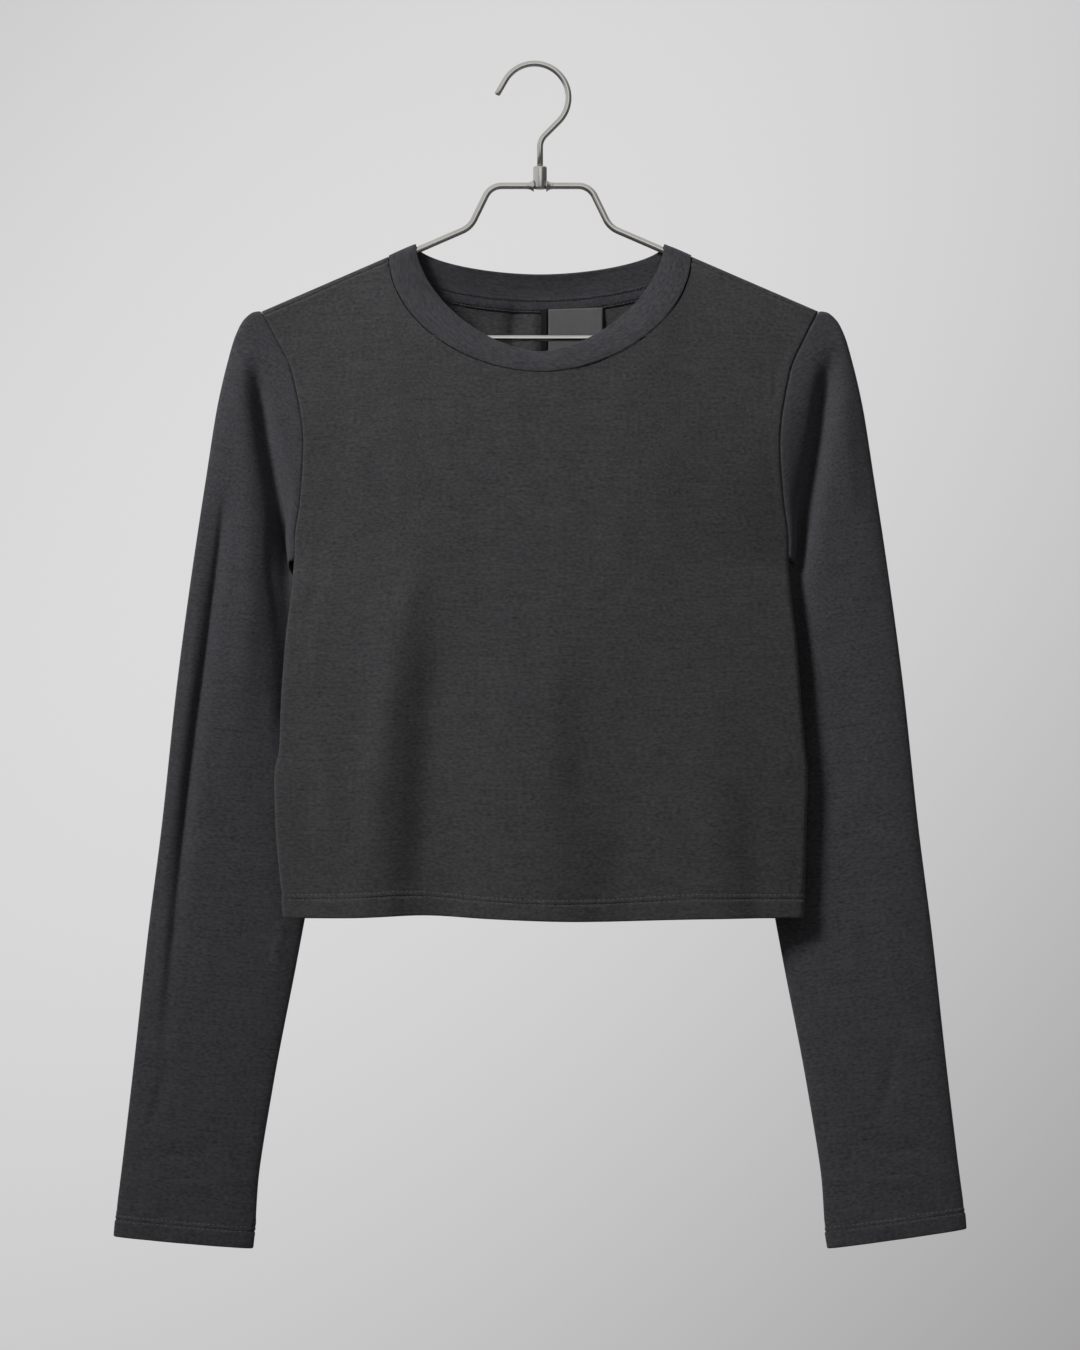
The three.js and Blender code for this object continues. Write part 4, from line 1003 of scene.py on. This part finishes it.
def makeHangerFrame():
    h = hanger
    knee = (h["kneeX"], h["kneeZ"])
    reach = (h["kneeZ"] - h["barZ"]) / math.sin(h["armSlope"])
    corner = (knee[0] + reach * math.cos(h["armSlope"]), h["barZ"])
    top = (h["bridgeHalf"], h["bridgeZ"])
    right = (bentCorner((0, h["bridgeZ"]), top, knee, h["bridgeBend"], 12)
             + bentCorner(top, knee, corner, h["kneeBend"], 12)
             + bentCorner(knee, corner, (0, h["barZ"]), h["endBend"], 28))
    left = [np.array([-p[0], p[1]]) for p in right[::-1]]
    points, faces = sweepTube(upright(right + left), h["wire"], 20, closed=True)
    return makeObject("hanger_wire_frame", points * mm, faces, None, steel)


def makeHook():
    h = hanger
    inner = h["hookBend"] - h["hookWire"]
    centre = np.array([h["crownX"], -math.sqrt(inner ** 2 - h["crownX"] ** 2)])

    def onArc(degrees):
        a = math.radians(degrees)
        return centre + h["hookBend"] * np.array([math.cos(a), math.sin(a)])
    tipWay = np.array([-math.sin(math.radians(h["tipAngle"])), math.cos(math.radians(h["tipAngle"]))])
    tips = [onArc(h["tipAngle"]) + tipWay * h["tip"] * s for s in (1, 0.97, 0.9, 0.6, 0.3)]
    arc = [onArc(a) for a in np.linspace(h["tipAngle"], h["neckAngle"], 80)]
    neck = onArc(h["neckAngle"])
    stem = bentCorner(neck, (0, neck[1] - neck[0]), (0, h["stemEnd"]), h["stemBend"], 16)
    path = upright(tips + arc + stem + [(0, h["stemEnd"])])
    radius = np.full(len(path), float(h["hookWire"]))
    radius[:3] = h["hookWire"] * np.array([0.6, 0.88, 1])  # the tip is rounded over
    points, faces = sweepTube(path, radius, 20)
    return makeObject("hanger_wire_hook", points * mm, faces, None, steel)


def makeSocket():
    h = hanger
    r, top, bottom = h["socketRadius"], h["socketTop"], h["socketBottom"]
    bore = h["hookWire"] + 0.15
    profile = [(0, bottom - 0.6), (r - 1.1, bottom - 0.6), (r - 0.3, bottom - 0.2), (r, bottom + 0.8)]
    profile += [(r, top - 1.3)] + [(r - 1.3 + 1.3 * math.sin(a), top - 1.3 + 1.3 * math.cos(a))
                                   for a in np.radians([75, 60, 45, 30, 15, 0])]
    profile += [(bore + 0.5, top), (bore + 0.1, top - 0.15), (bore, top - 0.5), (bore, top - 5)]
    points, faces, sides = [], [], 40
    for radius, z in profile:
        for a in np.linspace(0, 2 * np.pi, sides, endpoint=False):
            points.append((radius * math.cos(a), radius * math.sin(a), z))
    for i in range(len(profile) - 1):
        a, b = i * sides, (i + 1) * sides
        faces += [(a + k, a + (k + 1) % sides, b + (k + 1) % sides, b + k) for k in range(sides)]
    socket = makeObject("hanger_socket_collar", np.array(points) * mm, faces, None, steel)
    closeSeam(socket, 0.01 * mm)
    fillets = []
    for side in (-1, 1):  # braze that runs out along the bridge on both sides of the socket
        xs = np.linspace(h["socketRadius"] - 0.4, h["socketRadius"] + 4.2, 9)
        swell = h["wire"] + 1.9 * (1 - np.linspace(0, 1, 9)) ** 2.2 + 0.02
        path = [(side * x, 0, h["bridgeZ"]) for x in xs]
        fillet, fillFaces = sweepTube(path, swell, 24)
        label = "left" if side < 0 else "right"
        fillets.append(makeObject(f"hanger_braze_{label}", fillet * mm, fillFaces, None, steel))
    return socket, fillets


framePiece = makeHangerFrame()
hookPiece = makeHook()
socketPiece, fillets = makeSocket()
print("hanger ready")


# what each piece stands for

def settle(piece, slot, *nodes, parts=()):
    for p in (piece, *parts):
        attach(p, "root")
    if nodes:
        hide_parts(*nodes)


settle(frontPiece, "jersey", "front", parts=frontSewing)
settle(backPiece, "jersey", "back", parts=backSewing)
settle(leftPiece, "jersey", "upper_sleeve_left", "lower_sleeve_left", parts=leftSewing)
settle(rightPiece, "jersey", "upper_sleeve_right", "lower_sleeve_right", parts=rightSewing)
settle(neckPiece, "jersey", "neckband")
settle(tapePiece, "tape", "neck_tape", parts=tapeSewing)
settle(labelPiece, "label", "neck_label")
settle(stripPiece, "strip", "size_strip")
settle(framePiece, "wire", "hanger_frame")
settle(hookPiece, "wire", "hanger_hook")
settle(socketPiece, "wire", "hanger_socket", parts=fillets)

cut = {  # the flat size each sheet was cut to, in metres, and its area where it isn't a rectangle
    "front_panel": {"piece": frontPiece, "flat": (0.376, 0.462), "area": 0.150, "on": ["hanger_wire_frame"]},
    "back_panel": {"piece": backPiece, "flat": (0.376, 0.462), "area": 0.162, "on": ["hanger_wire_frame"]},
    "left_sleeve": {"piece": leftPiece, "flat": (0.36, 0.64), "area": 0.150, "on": ["hanger_wire_frame"]},
    "right_sleeve": {"piece": rightPiece, "flat": (0.36, 0.64), "area": 0.150, "on": ["hanger_wire_frame"]},
    "neck_band": {"piece": neckPiece, "flat": (0.5, 0.04), "area": None, "on": ["hanger_wire_frame"]},
    "neck_seam_tape": {"piece": tapePiece, "flat": (0.19, 0.0105), "area": None, "on": ["back_panel"]},
    "blank_neck_label": {"piece": labelPiece, "flat": (0.037, 0.034), "area": None, "on": ["back_panel"]},
}
for entry in cut.values():
    extra = {"area": entry["area"]} if entry["area"] else {}
    if entry["piece"] is labelPiece:
        extra["with_pieces"] = [stripPiece]  # too narrow a strip to be a sheet of its own


# floor, light and camera

studio = {
    "floorZ": -1.9, "floorRadius": 6.5,
    "wallNear": (0.71, 0.71, 0.71), "wallFar": (0.26, 0.26, 0.26),
    "spot": (-0.046, 0.044), "spotTurn": -39, "spotReach": (0.244, 0.416),  # the wall's painted pool of light
    "spotFade": (0.1, 1.45),
    "fill": 0.115, "shineLow": 0.13, "shineTop": 0.85,
    "key": {"place": (-1.5, -1.6, 1.15), "size": 0.75, "power": 13.6, "spread": 68, "aim": (0.13, 0, -0.1)},
    "front": {"place": (0.6, -3.6, 0.4), "size": 2.6, "power": 11.8},
    "back": {"place": (1, 3, 0.7), "size": 1.4, "power": 24},  # for looks from behind
    "floorGlow": 0.42, "lens": 120, "cameraPlace": (0, -3.0, -0.4053),
}


def makeFloor():
    sides = 96
    points = [(0, 0, studio["floorZ"])]
    points += [(studio["floorRadius"] * math.cos(a), studio["floorRadius"] * math.sin(a), studio["floorZ"])
               for a in np.linspace(0, 2 * math.pi, sides, endpoint=False)]
    faces = [(0, 1 + k, 1 + (k + 1) % sides) for k in range(sides)]
    mat, tree, shader = newMaterial("pale studio floor")
    where = tree.nodes.new("ShaderNodeTexCoord").outputs["Object"]
    tone = rampNode(tree, noiseNode(tree, where, 1.3, 4), (0.60, 0.60, 0.60), (0.66, 0.66, 0.66))
    tree.links.new(tone, shader.inputs["Base Color"])
    shader.inputs["Roughness"].default_value = 0.8
    seen = tree.nodes.new("ShaderNodeLightPath").outputs["Is Camera Ray"]
    tree.links.new(tone, shader.inputs["Emission Color"])
    tree.links.new(mathNode(tree, "MULTIPLY", seen, studio["floorGlow"]), shader.inputs["Emission Strength"])
    clear = tree.nodes.new("ShaderNodeBsdfTransparent").outputs[0]
    under = tree.nodes.new("ShaderNodeNewGeometry").outputs["Backfacing"]
    pick = addNode(tree, "ShaderNodeMixShader", {0: under, 1: shader.outputs[0], 2: clear})
    tree.links.new(pick.outputs[0], tree.nodes["Material Output"].inputs["Surface"])
    makeObject("studio_floor", points, faces, None, mat)


def makeSurround():  # a pale wall with one soft painted pool of light, as a function of direction alone
    world = bpy.data.worlds.new("studio surround")
    bpy.context.scene.world = world
    world.use_nodes = True
    tree = world.node_tree
    where = tree.nodes.new("ShaderNodeTexCoord").outputs["Generated"]
    split = addNode(tree, "ShaderNodeSeparateXYZ", {0: where}).outputs
    right, up = (mathNode(tree, "SUBTRACT", split[axis], at) for axis, at in zip("XZ", studio["spot"]))
    turn = math.radians(studio["spotTurn"])
    squares = 0
    for along, rise, reach in zip((math.cos(turn), -math.sin(turn)), (math.sin(turn), math.cos(turn)),
                                  studio["spotReach"]):  # an ellipse, turned
        offset = mathNode(tree, "ADD", mathNode(tree, "MULTIPLY", right, along),
                          mathNode(tree, "MULTIPLY", up, rise))
        share = mathNode(tree, "DIVIDE", offset, reach)
        squares = mathNode(tree, "ADD", mathNode(tree, "MULTIPLY", share, share), squares)
    away = mathNode(tree, "SQRT", squares)
    wall = mixNode(tree, mapRange(tree, away, *studio["spotFade"]),
                   (*studio["wallNear"], 1), (*studio["wallFar"], 1))
    slant = mathNode(tree, "SUBTRACT", mathNode(tree, "MULTIPLY", split["Z"], 0.8),
                     mathNode(tree, "MULTIPLY", split["X"], 0.6))
    shine = mapRange(tree, slant, -0.5, 0.7, studio["shineLow"], studio["shineTop"])
    seen = tree.nodes.new("ShaderNodeLightPath").outputs
    unseen = mixNode(tree, seen["Is Glossy Ray"], studio["fill"], shine, "FLOAT")
    tone = mixNode(tree, seen["Is Camera Ray"], unseen, wall)
    tree.links.new(tone, tree.nodes["Background"].inputs["Color"])


def makeLight(name, place, size, power, spread=180, aim=(0, 0, -0.4)):
    light = bpy.data.lights.new(name, "AREA")
    light.shape = "DISK"
    light.size = size
    light.energy = power
    light.spread = math.radians(spread)
    obj = bpy.data.objects.new(name, light)
    bpy.context.scene.collection.objects.link(obj)
    obj.location = place
    way = np.array(aim) - np.array(place)
    yaw = math.atan2(way[0], way[1])
    pitch = math.atan2(way[2], math.hypot(way[0], way[1]))
    obj.rotation_euler = (math.pi / 2 + pitch, 0, -yaw)
    return obj


def makeCamera():
    data = bpy.data.cameras.new("camera")
    data.lens = studio["lens"]
    camera = bpy.data.objects.new("camera", data)
    bpy.context.scene.collection.objects.link(camera)
    camera.location = studio["cameraPlace"]
    camera.rotation_euler = (math.pi / 2, 0, 0)
    bpy.context.scene.camera = camera


makeFloor()
makeSurround()
keyLight = makeLight("key softbox", **studio["key"])
keyLight.visible_glossy = False
makeLight("front fill", **studio["front"])
backLight = makeLight("back softbox", **studio["back"])
backLight.visible_camera = False
backLight.visible_glossy = False
makeCamera()
bpy.context.scene.view_settings.view_transform = "Standard"
print("studio ready")
